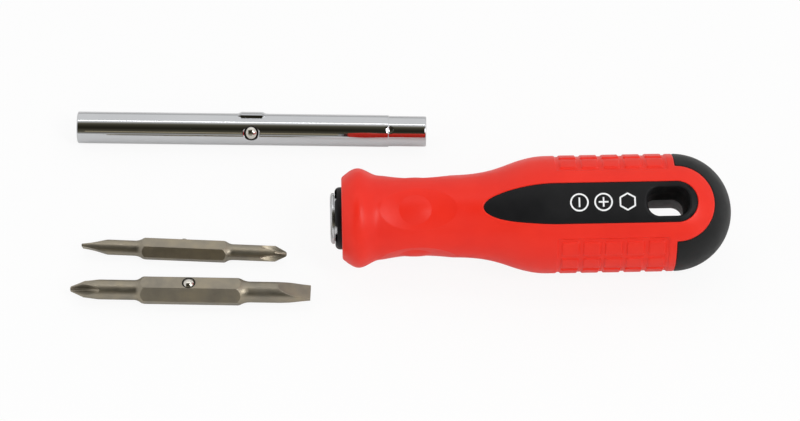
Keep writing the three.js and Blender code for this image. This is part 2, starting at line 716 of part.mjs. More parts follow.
function piece(name, made, finish) {
  const mesh = new THREE.Mesh(geometry(made), new THREE.MeshStandardMaterial(finishes[finish]));
  mesh.name = name;
  return mesh;
}

// A group laid on the table: rolled about its own axis, turned about +Z, and set down on its lowest point.
function placed({ x, y, roll, yaw }, pieces) {
  const rolled = new THREE.Group();
  rolled.rotation.x = radians(roll);
  rolled.add(...pieces);
  const group = new THREE.Group();
  group.rotation.z = radians(yaw);
  group.add(rolled);
  const lowest = new THREE.Box3().setFromObject(group, true).min.z;
  group.position.set(x, y, -lowest);
  return group;
}

function bitGroup(name, bit, detent, place) {
  const surface = bit.flats / 2;
  return placed(place, [
    piece(`${name}_body`, bitBody(bit, detent), "bit_steel"),
    piece(`${name}_ball`, ball(detent, surface), "ball_steel"),
    piece(`${name}_spring`, detentSpring(`${name}_spring`, detent, surface), "spring_steel"),
  ]);
}

const body = handleBody();
const handle = placed(HANDLE_PLACE, [
  piece("handle_core", handleCore(body), "black_core"),
  piece("grip_sleeve", gripSleeve(body), "red_grip"),
  piece("ferrule", ferrule(), "chrome"),
]);
const shaft = placed(SHAFT_PLACE, [
  piece("shaft_tube", shaftTube(), "chrome"),
  piece("shaft_plug", shaftPlug(), "spring_steel"),
  piece("shaft_ball", ball(SHAFT_DETENT, SHAFT_RADIUS), "ball_steel"),
  piece("shaft_spring", detentSpring("shaft_spring", SHAFT_DETENT, SHAFT_RADIUS), "spring_steel"),
]);
const largeBit = bitGroup("large_bit", LARGE_BIT, LARGE_DETENT, LARGE_BIT_PLACE);
const smallBit = bitGroup("small_bit", SMALL_BIT, SMALL_DETENT, SMALL_BIT_PLACE);

const layout = new THREE.Group();
layout.add(handle, shaft, largeBit, smallBit);
const middle = new THREE.Box3().setFromObject(layout, true).getCenter(new THREE.Vector3());
layout.position.set(-middle.x, -middle.y, 0);

const part = new THREE.Group();
part.add(layout);

export default part;
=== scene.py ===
"""A six-in-one screwdriver taken apart on a white table, dressed over its CAD frame.

Pieces are drawn in millimetres in the frame of their own group, with X along the group's axis, and set into
the row frame by the group's matrix. Handle lengths are measured from the front face of the ferrule.
"""
import json
from math import asin, ceil, copysign, cos, degrees, hypot, pi, radians, sin, sqrt, tan
from types import SimpleNamespace as Measures

import bmesh
import bpy
import numpy as np
from mathutils import Matrix, Vector


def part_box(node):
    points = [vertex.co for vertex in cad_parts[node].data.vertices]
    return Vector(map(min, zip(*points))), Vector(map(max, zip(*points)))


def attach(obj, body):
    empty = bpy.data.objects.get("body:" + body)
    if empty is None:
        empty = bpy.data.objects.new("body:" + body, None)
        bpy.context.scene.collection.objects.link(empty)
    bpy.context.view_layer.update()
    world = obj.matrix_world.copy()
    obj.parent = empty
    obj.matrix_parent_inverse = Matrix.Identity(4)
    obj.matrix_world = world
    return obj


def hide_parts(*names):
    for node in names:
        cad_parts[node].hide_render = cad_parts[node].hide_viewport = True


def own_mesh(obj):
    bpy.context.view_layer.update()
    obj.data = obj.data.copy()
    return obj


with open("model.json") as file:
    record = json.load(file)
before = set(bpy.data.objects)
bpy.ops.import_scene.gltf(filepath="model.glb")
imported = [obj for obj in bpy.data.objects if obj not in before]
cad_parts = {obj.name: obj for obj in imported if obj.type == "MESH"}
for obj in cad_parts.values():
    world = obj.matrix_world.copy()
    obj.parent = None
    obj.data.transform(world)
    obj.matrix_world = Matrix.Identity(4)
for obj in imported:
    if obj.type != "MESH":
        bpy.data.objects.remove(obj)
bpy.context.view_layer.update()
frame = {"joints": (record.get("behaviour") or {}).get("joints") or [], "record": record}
MM = 0.001

# Handle
HANDLE_ROLL = radians(29.5)
HANDLE_LENGTH = 124.78
GRIP_RADIUS = 18.28
NOSE_RADIUS = 12.66
FLARE_RADIUS = 15.5
NECK_RADIUS = 12.85
FLARE_AT = 8.7
NECK_AT = 29.5
GRIP_AT = 67.0
NOSE_ROUND = 0.55
NOSE_LEAN = (0.76, 0.65)  # direction of the outside behind the nose's rounded rim
CORE_RADIUS = 15.7  # core under the soft grip, on the barrel
CORE_NECK_END = 43.5
CORE_BARREL_AT = 66.0
MOUTH_POINT_RADIUS = 6.8  # where the mouth's mount point lies on the ferrule's face
BUTT_CENTRE = HANDLE_LENGTH - GRIP_RADIUS

# Thumb scoops and grip pads
SCOOP_COUNT = 4
SCOOP_AT = 27.3
SCOOP_LENGTH = 23.7
SCOOP_WIDTH = 14.0
SCOOP_DEPTH = 1.15
BUTTON_DIAMETER = 10.0
BUTTON_RISE = 0.65
BUTTON_SHIFT = -1.0
PAD_COUNT = 5
PAD_PITCH = 6.67
PAD_GAP = 1.37
PAD_RISE = 0.08
PAD_GROOVE = 0.35
PAD_CORNER = 0.45
PAD_EDGE = (-0.3, -0.15, 0.0, 0.15)  # lines across the slope at a pad's edge
PAD_MARGIN = 3.5
FIELD_EDGE = 0.25  # half the slope round the field of pads

# Inlay, tongue and hanging hole, as outlines seen along the inlay's normal
INLAY_HALF_WIDTH = 6.4
INLAY_TIP_AT = 47.3
INLAY_TAPER = 23.0
INLAY_POINT = 0.64
INLAY_BEND = 0.58
TONGUE_RADIUS = 11.9
SEAM_GAP = 0.05  # half the gap between the soft grip and the core
SEAM_ROUND = 0.45  # reach of the rounded edges beside a seam
SEAM_DROP = 0.26
HOLE_AT = BUTT_CENTRE - 2.7
HOLE_LENGTH = 12.9
HOLE_WIDTH = 8.9
HOLE_CORNER = 3.8
HOLE_DRAFT = 0.4
HOLE_FLARE = (1.2, 0.5)  # how much longer and wider the hole leaves the underside
HOLE_SEAM = 0.5  # groove where the two halves of the hole meet
HOLE_OVERLAP = 0.12  # of the cutters of the two halves
HOLE_ROUND = 0.9
HOLE_MARGIN = (1, 0.4)  # how far beyond the outline the hole's wall may lie

# Printed tip signs on the inlay
SIGN_PLACES = (76.4, 83.8, 91.2)  # slot, cross and hexagon
SIGN_RADIUS = 2.6
SIGN_BAR = 1.5  # half the length of a slot
SIGN_STROKE = 0.5  # width of the lines
SIGN_RISE = 0.02
SIGN_SINK = 0.1

# Ferrule and collar
FLANGE_RADIUS = 7.93
FLANGE_THICKNESS = 1.25
FLANGE_FLAT = 6.3  # radius of the flat part of its face
FLANGE_DOME = 0.75
FLANGE_BEVEL = 0.12
FERRULE_RADIUS = 7.1
FERRULE_LENGTH = 16.0
FERRULE_GAP = 0.2
MOUTH_BEVEL = 0.5
BALL_GROOVE = 1.5  # half the length of the groove that holds the shaft's ball
BALL_GROOVE_WALL = 0.75
EAR_FIT = (0.2, 0.28, 0.27)  # room for the shaft's ear along the axis, outwards and on each side
COLLAR_RADIUS = 9.7
COLLAR_LENGTH = 2.15
COLLAR_ROUND = 1.5
NOTCH_COUNT = 4
NOTCH_WIDTH = 5.6
NOTCH_DEPTH = 0.7
COLLAR_FACE = FLANGE_THICKNESS + FERRULE_GAP
GRIP_FRONT = COLLAR_FACE + COLLAR_LENGTH
BORE_RADIUS = 5.42
BORE_DEPTH = 85.8
BORE_POINT = 3.2

# Shaft
SHAFT_LENGTH = 112.97
SHAFT_RADIUS = 5.14
SHAFT_END_RADIUS = 4.9
SHAFT_END_LENGTH = 12.4
SHAFT_STEP = 0.4  # length of the step down to the narrow end
SHAFT_EDGE = 0.45
EAR_RADIUS = 5.69
EAR_LENGTH = 9.2
EAR_WIDTH = 4.33
EAR_RAMP = 1.2
EAR_TOP = EAR_LENGTH / 2 - EAR_RAMP
EAR_LEAN = radians(12)
EAR_SOFTNESS = 0.15
POCKET_FLOOR = 4.26
POCKET_RUN = (-0.2, 0.9)  # where the pressed flats run out, from the ends of the ear's top
PUNCH_AT = 11.6
PUNCH_RADIUS = 1.2
PUNCH_DEPTH = 0.3
PUNCH_TURN = radians(19)
PLUG_LENGTH = 7.2
PLUG_RADIUS = 3.75
PLUG_EDGE = 0.3
LARGE_SOCKET = 8.1
SMALL_SOCKET = 6.51
FUNNEL_DEPTH = 0.49  # of the bevel round a socket's mouth
FUNNEL_RISE = 0.3  # how far its cutter stands out of the shaft
FUNNEL_RADII = (-0.1, 0.55)  # inside and outside, from half the flats
SOCKET_POINT_RADII = {"large_socket_face": 4.38, "small_socket_face": 3.85}  # of the mount points

# Detents: place along the axis, ball, lip, well, staked dish and the reach of the painted dirt and shade
# round it, and the spring's wire
BALL_LIP_GAP = 0.06
BALL_HOLE_FIT = 0.09
SPRING_END_GAP = 0.15
SPRING_SIDES = 14
SPRING_STEPS = 40  # for each turn
SHAFT_DETENT = Measures(
    at=0.0, ball=2.38, lip=2.28, lip_thickness=0.83, depth=8.1, mouth=2.4, dish=2.95, dish_depth=0.3,
    grime=2.5, wire=0.45, coil=1.6, turns=3.6,
)
LARGE_DETENT = Measures(
    at=-0.85, ball=2.0, lip=1.88, lip_thickness=0.27, depth=6.7, mouth=1.97, dish=2.15, dish_depth=0.22,
    grime=2.1, wire=0.4, coil=1.4, turns=3.35,
)
SMALL_DETENT = Measures(
    at=0.0, ball=1.5, lip=1.4, lip_thickness=0.245, depth=5.3, mouth=1.55, dish=1.75, dish_depth=0.2,
    grime=1.8, wire=0.35, coil=1.0, turns=2.7,
)

# Bits: a cross point at -X and a flat blade at +X
LARGE_BIT = Measures(
    flats=7.94, hex=31.6, shoulder=2.4, cross=22.1, cross_radius=3.1,
    cone=4.3, cone_radius=3.02, nose=0.85, flute=9.4, flute_round=0.6, root=0.52,
    blade=21.1, blade_radius=3.25, taper=10.2, tip_radius=2.75, tip_thickness=1.0,
)
SMALL_BIT = Measures(
    flats=6.35, hex=26.9, shoulder=2.2, cross=19.0, cross_radius=2.5,
    cone=3.6, cone_radius=2.48, nose=0.66, flute=8.2, flute_round=0.48, root=0.42,
    blade=18.6, blade_radius=2.4, taper=8.2, tip_radius=2.25, tip_thickness=0.8,
)
SHOULDER_CURVE = 2.2  # power of the shoulders' run up to the hexagon
BLADE_HOLLOW = 0.12  # hollow of the blade's faces, as a share of its radius
FLUTE_COUNT = 4
FLUTE_ANGLE = radians(87)
FLUTE_CURVE = 2.8  # power of the flutes' run out to the surface
CHAMFER_ANGLE = radians(30)
HEX_TRIM = 0.5  # the hexagon ends this much sooner on the blade's side, in a longer shoulder
HEX_LAND = 0.05  # the hexagon's edges are turned down by this much
EDGE_SOFTNESS = 0.07  # rounding where two cut faces of a bit meet

# Camera: it looks down at the table, at a point near the middle of the layout
CAMERA_ELEVATION = radians(49)
CAMERA_DISTANCE = 1.022
CAMERA_LENS = 144
CAMERA_TARGET = Vector((0.00075, 0.00252, 0))

# Brightness of the tent by the turn from the horizon on the camera's side, over the zenith, in degrees
TENT_LEVELS = [
    (0, 0.5), (5, 0.46), (10, 0.18), (20, 0.1), (27, 0.08), (35, 0.05), (42, 0.022), (52, 0.024),
    (62, 0.042), (70, 0.066), (78, 0.13), (85, 0.37), (92, 0.9), (158, 0.9), (172, 0.62), (180, 0.4),
]
TENT_WARM_BELOW = 0.5  # darker parts of the tent are warmer, by these shares of red and blue
TENT_WARMTH = (0.1, 0.35)
TENT_SIDE = 0.85  # brightness of the tent's two sides
TENT_SIDES_AT = ((0.4, 0.75), (-0.65, -0.85))  # where they fade in, by the sine of the turn to the side
FLOOR_SHARE = 0.9  # how much of the floor is plain white to the camera, the rest is lit
MIRROR_SHARE = 0.1  # and how much of it in metal
LAMP_TARGET = Vector((0, 0, 0.01))

CUT = 60.0  # reach of a cutter that passes right through
TINY = 1e-6  # keeps a divisor from zero
NEAR = 0.04  # a point this close to a line, as a share of an edge, counts as on it
SHARP_ANGLE = radians(33)
BIT_SHARP_ANGLE = radians(22)


# Groups


def group(origin, axis, up):
    """A group's matrix: X along its axis and Z towards up, from millimetres to the row frame."""
    x = Vector(axis).normalized()
    z = (Vector(up) - x * x.dot(Vector(up))).normalized()
    turn = Matrix((x, z.cross(x), z)).transposed().to_4x4()
    return Matrix.Translation(origin) @ turn @ Matrix.Scale(MM, 4)


def named(rows, name):
    return next(row for row in rows if row["name"] == name)


def joint_axis(name):
    return Vector(named(frame["joints"], name)["axis"])


def mount(name):
    return named(frame["record"]["mounts"], name)


def handle_group():
    mouth = mount("handle_mouth_face")
    axis = -Vector(mouth["axis"])
    up = Vector((0, -sin(HANDLE_ROLL), cos(HANDLE_ROLL)))
    across = group(Vector(), axis, up)
    return group(Vector(mouth["pos_m"]) - across @ Vector((0, 0, MOUTH_POINT_RADIUS)), axis, up)


def shaft_group():
    up = -joint_axis("shaft_ball_press")
    ends = [Vector(mount(name)["pos_m"]) - up * reach * MM for name, reach in SOCKET_POINT_RADII.items()]
    return group(sum(ends, Vector()) / 2, joint_axis("shaft_insertion"), up)


def bit_group(name, bit):
    low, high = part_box(f"{name}_body")
    axis = joint_axis(f"{name}_insertion")
    longer = (bit.blade - bit.cross) / 2
    return group((low + high) / 2 - axis * longer * MM, axis, -joint_axis(f"{name}_ball_press"))


HANDLE = handle_group()
SHAFT = shaft_group()
LARGE = bit_group("large_bit", LARGE_BIT)
SMALL = bit_group("small_bit", SMALL_BIT)


# Solids


def linked(name, data):
    """An object in the scene with a mesh, a lamp or a camera."""
    made = bpy.data.objects.new(name, data)
    bpy.context.scene.collection.objects.link(made)
    return made


def solid(name, points, faces, matrix):
    """A closed mesh object from points in a group's millimetres."""
    mesh = bpy.data.meshes.new(name)
    mesh.from_pydata(np.asarray(points, float).tolist(), [], [list(face) for face in faces])
    mesh.transform(matrix)
    made = bmesh.new()
    made.from_mesh(mesh)
    bmesh.ops.recalc_face_normals(made, faces=made.faces)
    made.to_mesh(mesh)
    made.free()
    return linked(name, mesh)


class Skin:
    """A closed surface round the X axis, in millimetres. Each point has a place along the axis, a base radius
    and a direction across it: the sine points to +Y and the cosine to +Z."""

    def __init__(self, profile, columns):
        rings = np.array(profile, float)
        count = len(rings) - 2
        turn = np.tile(np.arange(columns) * 2 * np.pi / columns, count)
        self.along = np.r_[rings[0, 0], np.repeat(rings[1:-1, 0], columns), rings[-1, 0]]
        self.base = np.r_[0, np.repeat(rings[1:-1, 1], columns), 0]
        self.sine = np.r_[0, np.sin(turn), 0]
        self.cosine = np.r_[1, np.cos(turn), 1]
        here = np.arange(columns)
        there = (here + 1) % columns
        triangles = [np.stack([0 * here, 1 + here, 1 + there], 1)]
        for ring in range(count - 1):
            a, b = 1 + ring * columns + here, 1 + ring * columns + there
            triangles += [np.stack([a, a + columns, b], 1), np.stack([b, a + columns, b + columns], 1)]
        last = 1 + (count - 1) * columns
        triangles.append(np.stack([last + here, 0 * here + 1 + count * columns, last + there], 1))
        self.triangles = np.concatenate(triangles)

    def insert(self, values):
        """Splits the triangles along the line where the values, one for each point, change sign."""
        count = len(self.along)
        pairs = np.concatenate([self.triangles[:, [k, (k + 1) % 3]] for k in range(3)])
        i, j = np.unique(np.sort(pairs, 1), axis=0).T
        crossed = values[i] * values[j] < 0
        i, j = i[crossed], j[crossed]
        share = values[i] / (values[i] - values[j])
        values = np.array(values)
        values[np.r_[i[share < NEAR], j[share > 1 - NEAR]]] = 0
        crossed = values[i] * values[j] < 0
        i, j, share = i[crossed], j[crossed], share[crossed]

        def part(measure):
            return (1 - share) * measure[i] + share * measure[j]

        y, z = part(self.base * self.sine), part(self.base * self.cosine)
        length = np.maximum(np.hypot(y, z), 1e-12)
        self.along = np.r_[self.along, part(self.along)]
        self.base = np.r_[self.base, part(self.base)]
        self.sine = np.r_[self.sine, y / length]
        self.cosine = np.r_[self.cosine, z / length]

        def between(a, b):
            return count + np.searchsorted(i * count + j, np.minimum(a, b) * count + np.maximum(a, b))

        def corners(chosen, first):
            rows = np.arange(chosen.sum())
            return (self.triangles[chosen][rows, (first + k) % 3] for k in range(3))

        side = np.sign(values)[self.triangles]
        below, above = (side < 0).sum(1), (side > 0).sum(1)
        halved = (below == 1) & (above == 1)
        on, a, b = corners(halved, np.argmax(side[halved] == 0, 1))
        new = [(on, a, between(a, b)), (on, between(a, b), b)]
        parted = (below + above == 3) & (below > 0) & (above > 0)
        lone = np.where(below[parted] == 1, -1, 1)
        a, b, c = corners(parted, np.argmax(side[parted] == lone[:, None], 1))
        ab, ac = between(a, b), between(a, c)
        new += [(a, ab, ac), (ab, b, c), (ab, c, ac)]
        kept = self.triangles[~(halved | parted)]
        self.triangles = np.concatenate([kept, *(np.stack(triangle, 1) for triangle in new)])

    def build(self, name, matrix, radius=None, sink=0.0):
        """The surface as an object. The sink lowers points towards the plane through the axis and Y."""
        radius = self.base if radius is None else radius
        z = radius * self.cosine - np.sign(self.cosine) * np.minimum(sink, radius * np.abs(self.cosine))
        return solid(name, np.c_[self.along, radius * self.sine, z], self.triangles, matrix)


def combine(piece, cutter, operation):
    """Cuts or joins a piece by another, which is used up."""
    bpy.context.view_layer.update()
    modifier = piece.modifiers.new("combine", "BOOLEAN")
    modifier.object = cutter
    modifier.operation = operation
    modifier.solver = "MANIFOLD"
    depsgraph = bpy.context.evaluated_depsgraph_get()
    mesh = bpy.data.meshes.new_from_object(piece.evaluated_get(depsgraph))
    if len(mesh.vertices) == len(piece.data.vertices):
        raise ValueError(f"{cutter.name} left {piece.name} as it was")
    piece.modifiers.clear()
    piece.data = mesh
    bpy.data.objects.remove(cutter)
    return piece


def cut(piece, *cutters):
    for cutter in cutters:
        combine(piece, cutter, "DIFFERENCE")
    return piece


def copied(piece):
    return linked(piece.name, piece.data.copy())


def turned(name, profile, matrix, columns=96):
    """A profile of (along, radius) points turned round the X axis."""
    return Skin(profile, columns).build(name, matrix)


def upright(profile, matrix):
    """A profile of (height, radius) points turned round the Z axis."""
    return turned("upright", profile, matrix @ Matrix.Rotation(-pi / 2, 4, "Y"), 64)


def swept(rows, closed=False):
    """Faces between rows of point numbers, with caps at the ends unless the rows close up."""
    faces = []
    for row, following in zip(rows, rows[1:] + rows[:1] if closed else rows[1:]):
        faces += [(row[k - 1], following[k - 1], following[k], row[k]) for k in range(len(row))]
    return faces if closed else faces + [rows[0], rows[-1]]


def cylinder(low, high, radius):
    """The profile of a plain cylinder."""
    return [(low, 0), (low, radius), (high, radius), (high, 0)]


def prism(outline, low, high, matrix):
    """An outline in X and Y, drawn out along Z. The two ends may have outlines of their own."""
    lower, upper = outline if isinstance(outline, tuple) else (outline, outline)
    count = len(lower)
    points = [(x, y, low) for x, y in lower] + [(x, y, high) for x, y in upper]
    return solid("prism", points, swept([range(count), range(count, 2 * count)]), matrix)


def block(low, high, matrix):
    (x0, y0, z0), (x1, y1, z1) = low, high
    return prism([(x0, y0), (x1, y0), (x1, y1), (x0, y1)], z0, z1, matrix)


def arc(centre, radius, start, end, steps):
    """Points on a circle, from one angle to another, in degrees."""
    turns = np.radians(np.linspace(start, end, steps + 1))
    return [(centre[0] + radius * cos(t), centre[1] + radius * sin(t)) for t in turns]


def rounded_rim(end, radius, edge):
    """The rounded edge of a turned solid, from the face of its low end to its side."""
    return [(end + edge - x, radius - edge + r) for x, r in arc((0, 0), edge, 0, 90, 6)]


def even(start, end, step):
    """Places from start to end, no more than a step apart."""
    return np.linspace(start, end, max(1, ceil(abs(end - start) / step)) + 1)


def mix(start, end, share):
    return start + (end - start) * share


def smooth(low, high, values):
    """0 below low and 1 above high, with a soft change between them."""
    share = np.clip((values - low) / (high - low), 0, 1)
    return share * share * (3 - 2 * share)


def least(a, b, softness):
    """The smaller of two radii, rounded where they meet."""
    near = np.maximum(softness - np.abs(a - b), 0) / softness
    return np.minimum(a, b) - near * near * softness / 4


def finish_piece(piece, body, node, slot, *paints, sharp=SHARP_ANGLE):
    """Shades a piece, gives it its materials and hands it to the frame."""
    piece.data.materials.clear()
    for paint in paints:
        piece.data.materials.append(paint.material)
    piece.data.shade_smooth()
    piece.data.set_sharp_from_angle(angle=sharp)
    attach(piece, body)
    if node:
        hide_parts(node)


# Materials


class Nodes:
    """A node tree that grows one node at a time."""

    def __init__(self, tree):
        self.tree = tree

    def put(self, socket, value):
        """Feeds an input with a plain value or the output of a node."""
        if isinstance(value, bpy.types.NodeSocket):
            self.tree.links.new(value, socket)
        else:
            socket.default_value = value

    def node(self, kind, inputs=(), **settings):
        made = self.tree.nodes.new("ShaderNode" + kind)
        for key, value in settings.items():
            setattr(made, key, value)
        for key, value in dict(inputs).items():
            self.put(made.inputs[key], value)
        return made

    def math(self, operation, *terms):
        return self.node("Math", enumerate(terms), operation=operation).outputs["Value"]

    def ramp(self, source, *stops):
        """Colours or grey levels by a value: each stop is (place, colour)."""
        made = self.node("ValToRGB", dict(Fac=source))
        elements = made.color_ramp.elements
        while len(elements) < len(stops):
            elements.new(0.5)
        for element, (place, colour) in zip(elements, stops):
            element.position = place
            level = (colour, colour, colour) if isinstance(colour, float) else colour
            element.color = (*level, 1)
        return made.outputs["Color"]


class Paint(Nodes):
    """A material. Noise is given as (scale, detail, stretch), of which only the scale is needed. Each bump is
    noise and a height in metres. The colour, the roughness and the looks, which are named after inputs of the
    shader, are plain values or else noise and the stops of a ramp over it."""

    def __init__(self, name, colour, roughness, *bumps, **looks):
        self.material = bpy.data.materials.new(name)
        self.material.use_nodes = True
        super().__init__(self.material.node_tree)
        self.shader = self.tree.nodes["Principled BSDF"]
        self.place = self.node("TexCoord").outputs["Object"]
        for key, look in dict(looks, Base_Color=colour, Roughness=roughness).items():
            value = self.ramp(self.noise(*look[0]), *look[1:]) if isinstance(look, tuple) else look
            self.put(self.shader.inputs[key.replace("_", " ")], value)
        for noise, height in bumps:
            self.bump(self.noise(*noise), height)

    def noise(self, scale, detail=3, stretch=None):
        place = self.place
        if stretch:
            place = self.node("Mapping", dict(Scale=stretch, Vector=place)).outputs["Vector"]
        settings = dict(Scale=scale, Detail=detail, Roughness=0.55, Vector=place)
        return self.node("TexNoise", settings).outputs["Fac"]

    def bump(self, source, height):
        """Adds to the bumps that are there."""
        made = self.node("Bump", dict(Distance=height, Strength=1.0, Height=source))
        target = self.shader.inputs["Normal"]
        if target.is_linked:
            self.put(made.inputs["Normal"], target.links[0].from_socket)
        self.put(target, made.outputs["Normal"])


def plain_steel(name, shade, roughness, grain):
    dark = tuple(0.85 * value for value in shade)
    return Paint(
        name,
        ((240, 4), (0.3, dark), (0.7, shade)),
        ((600,), (0.3, 0.8 * roughness), (0.7, 1.25 * roughness)),
        ((grain,), 0.000003), Metallic=1.0,
    )


SOFT_RED = Paint(
    "soft_red",
    ((90, 4), (0.3, (0.77, 0.02, 0.0085)), (0.55, (0.8, 0.023, 0.0095)), (0.75, (0.82, 0.026, 0.011))),
    ((240,), (0.3, 0.34), (0.7, 0.42)),
    ((2600, 2), 0.00001), Specular_IOR_Level=0.26,
)
HARD_BLACK = Paint(
    "hard_black",
    ((130, 4), (0.35, (0.0062, 0.0064, 0.0072)), (0.7, (0.0092, 0.0094, 0.0102))),
    ((300,), (0.3, 0.4), (0.7, 0.5)),
    ((3400, 2), 0.00001), Specular_IOR_Level=0.15,
)
SOFT_BLACK = Paint(
    "soft_black",
    ((120, 4), (0.35, (0.007, 0.0073, 0.0076)), (0.7, (0.011, 0.0113, 0.0116))),
    ((260,), (0.3, 0.42), (0.7, 0.52)),
    ((2400, 2), 0.000012), Specular_IOR_Level=0.19,
)
HOLE_SHADE_BLACK = Paint(  # painted shade: a darker, duller copy of the core's black for the upper half of the hanging hole
    "painted_hole_shade",
    ((160, 4), (0.35, (0.005, 0.005, 0.0055)), (0.7, (0.009, 0.009, 0.0095))),
    ((300,), (0.3, 0.6), (0.7, 0.75)),
    ((1800, 2), 0.00002), Specular_IOR_Level=0.11,
)
WHITE_PRINT = Paint(
    "white_print",
    ((700, 4), (0.25, (0.62, 0.64, 0.67)), (0.5, (0.83, 0.84, 0.85))),
    ((900,), (0.3, 0.45), (0.7, 0.6)),
)
CHROME = Paint(
    "chrome",
    ((60,), (0.3, (0.595, 0.605, 0.62)), (0.7, (0.63, 0.638, 0.65))),
    ((160, 5), (0.35, 0.05), (0.75, 0.1)),
    ((900, 3, (0.03, 1, 1)), 0.0000012), Metallic=1.0,
)
FERRULE_STEEL = Paint(
    "ferrule_steel",
    ((200,), (0.3, (0.5, 0.505, 0.52)), (0.7, (0.58, 0.585, 0.59))),
    ((500,), (0.3, 0.16), (0.7, 0.28)),
    ((1500, 3, (1, 0.1, 0.1)), 0.000003), Metallic=1.0,
)
BIT_STEEL = Paint(
    "bit_steel",
    ((180, 5), (0.3, (0.27, 0.246, 0.203)), (0.5, (0.327, 0.292, 0.23)), (0.72, (0.385, 0.333, 0.243))),
    ((420, 4), (0.3, 0.36), (0.7, 0.46)),
    ((5200, 2), 0.000006), ((1800, 3, (1, 0.06, 0.06)), 0.000016), Metallic=1.0,
)
WELL_DIRT_AND_SHADE = Paint(  # oily dirt and painted shade inside the wells of the balls
    "crevice_dirt_and_shade",
    ((900,), (0.3, (0.012, 0.011, 0.01)), (0.7, (0.035, 0.032, 0.028))),
    ((1200,), (0.3, 0.45), (0.7, 0.7)),
    Specular_IOR_Level=0.3,
)
BALL_STEEL = plain_steel("ball_steel", (0.72, 0.69, 0.63), 0.12, 900)
SPRING_STEEL = plain_steel("spring_steel", (0.55, 0.55, 0.54), 0.3, 2400)
PLUG_STEEL = plain_steel("plug_steel", (0.5, 0.49, 0.47), 0.35, 1800)


# Handle


def handle_profile():
    """The outside of the handle behind the ferrule, from the middle of its front face to the butt's pole."""
    stations = [  # place, radius and slope
        (GRIP_FRONT, NOSE_RADIUS, 0.85),
        (FLARE_AT, FLARE_RADIUS, 0),
        (FLARE_AT + 6.2, NECK_RADIUS + 0.3, -0.12),
        (NECK_AT, NECK_RADIUS, 0),
        (GRIP_AT - 19.4, NECK_RADIUS + 0.75, 0.18),
        (GRIP_AT - 12, GRIP_RADIUS - 2.6, 0.375),
        (GRIP_AT, GRIP_RADIUS, 0),
    ]
    points = []
    for (x0, r0, s0), (x1, r1, s1) in zip(stations, stations[1:]):
        span = x1 - x0
        for t in np.linspace(0, 1, round(span / 0.7) + 1)[:-1]:
            start = (1 + 2 * t) * (1 - t) ** 2 * r0 + t * (1 - t) ** 2 * span * s0
            end = t * t * (3 - 2 * t) * r1 - t * t * (1 - t) * span * s1
            points.append((x0 + t * span, start + end))
    along, out = NOSE_LEAN
    rim = [
        (GRIP_FRONT + NOSE_ROUND * along * t * t, NOSE_RADIUS + NOSE_ROUND * (out * t * t - (1 - t) ** 2))
        for t in np.linspace(0, 1, 6)
    ]
    points = [p for p in points if p[0] > rim[-1][0] + 0.2]
    barrel = [(x, GRIP_RADIUS) for x in even(GRIP_AT, BUTT_CENTRE, 0.75)]
    butt = [(BUTT_CENTRE + x, r) for r, x in arc((0, 0), GRIP_RADIUS, 0, 90, 38)[1:]]
    front = [(GRIP_FRONT, r) for r in (0, 4, 8, 10.5)]
    return front + rim + points + barrel + butt[:-1] + [(HANDLE_LENGTH, 0)]


def scoop_shares(skin):
    """Distance from the middle of the nearest scoop and its button, as shares of their own reach."""
    pitch = 2 * pi / SCOOP_COUNT
    turn = np.arctan2(skin.sine, skin.cosine)
    across = (turn - pitch * np.round(turn / pitch)) * NECK_RADIUS
    fore = skin.along - SCOOP_AT
    oval = np.hypot(fore / (SCOOP_LENGTH / 2), across / (SCOOP_WIDTH / 2))
    return oval, np.hypot(fore - BUTTON_SHIFT, across) / (BUTTON_DIAMETER / 2)


def box_distance(x, y, length, width, corner):
    """Signed distance from the edge of a box with round corners: less than 0 inside."""
    x, y = np.abs(x) - length / 2 + corner, np.abs(y) - width / 2 + corner
    return np.hypot(np.maximum(x, 0), np.maximum(y, 0)) + np.minimum(np.maximum(x, y), 0) - corner


def pad_distances(skin):
    """Signed distances to the edge of the nearest pad and to the edge of the field that the pads stand in."""
    end = BUTT_CENTRE - PAD_MARGIN + PAD_GAP
    field = PAD_COUNT * PAD_PITCH + PAD_GAP
    along = skin.along - (end - field / 2)
    around = np.arctan2(skin.cosine, np.abs(skin.sine)) * GRIP_RADIUS
    reach = (PAD_COUNT - 1) / 2
    offsets = [
        value - PAD_PITCH * np.clip(np.round(value / PAD_PITCH), -reach, reach) for value in (along, around)
    ]
    pad = box_distance(*offsets, PAD_PITCH - PAD_GAP, PAD_PITCH - PAD_GAP, PAD_CORNER)
    return pad, np.maximum(np.abs(along), np.abs(around)) - field / 2 + FIELD_EDGE


def inlay_half(margin):
    """The upper half of the inlay's outline, from its point to its round end."""
    half = INLAY_HALF_WIDTH + margin
    tip = INLAY_TIP_AT - margin
    full = INLAY_TIP_AT + INLAY_TAPER
    control = [(tip, 0), (tip, INLAY_POINT * half), (tip + INLAY_BEND * INLAY_TAPER, half), (full, half)]
    t = np.linspace(0, 1, 49)
    weights = np.stack([(1 - t) ** 3, 3 * t * (1 - t) ** 2, 3 * t * t * (1 - t), t ** 3], 1)
    return (weights @ control).tolist() + arc((BUTT_CENTRE, 0), half, 90, 0, 30)


def inlay_outline(margin):
    half = inlay_half(margin)
    return half + [(x, -y) for x, y in half[-2:0:-1]]


def inlay_distance(skin):
    """Signed distance from the inlay's outline, seen along its normal: less than 0 inside."""
    half = np.array(inlay_half(0))
    point = np.c_[skin.along, np.abs(skin.base * skin.sine)]
    nearest = np.full(len(point), np.inf)
    for start, end in zip(half, half[1:]):
        step = end - start
        share = np.clip((point - start) @ step / (step @ step), 0, 1)
        nearest = np.minimum(nearest, np.linalg.norm(point - start - share[:, None] * step, axis=1))
    inside = point[:, 1] < np.interp(point[:, 0], half[:, 0], half[:, 1], left=-1, right=-1)
    return np.where(inside, -nearest, nearest)


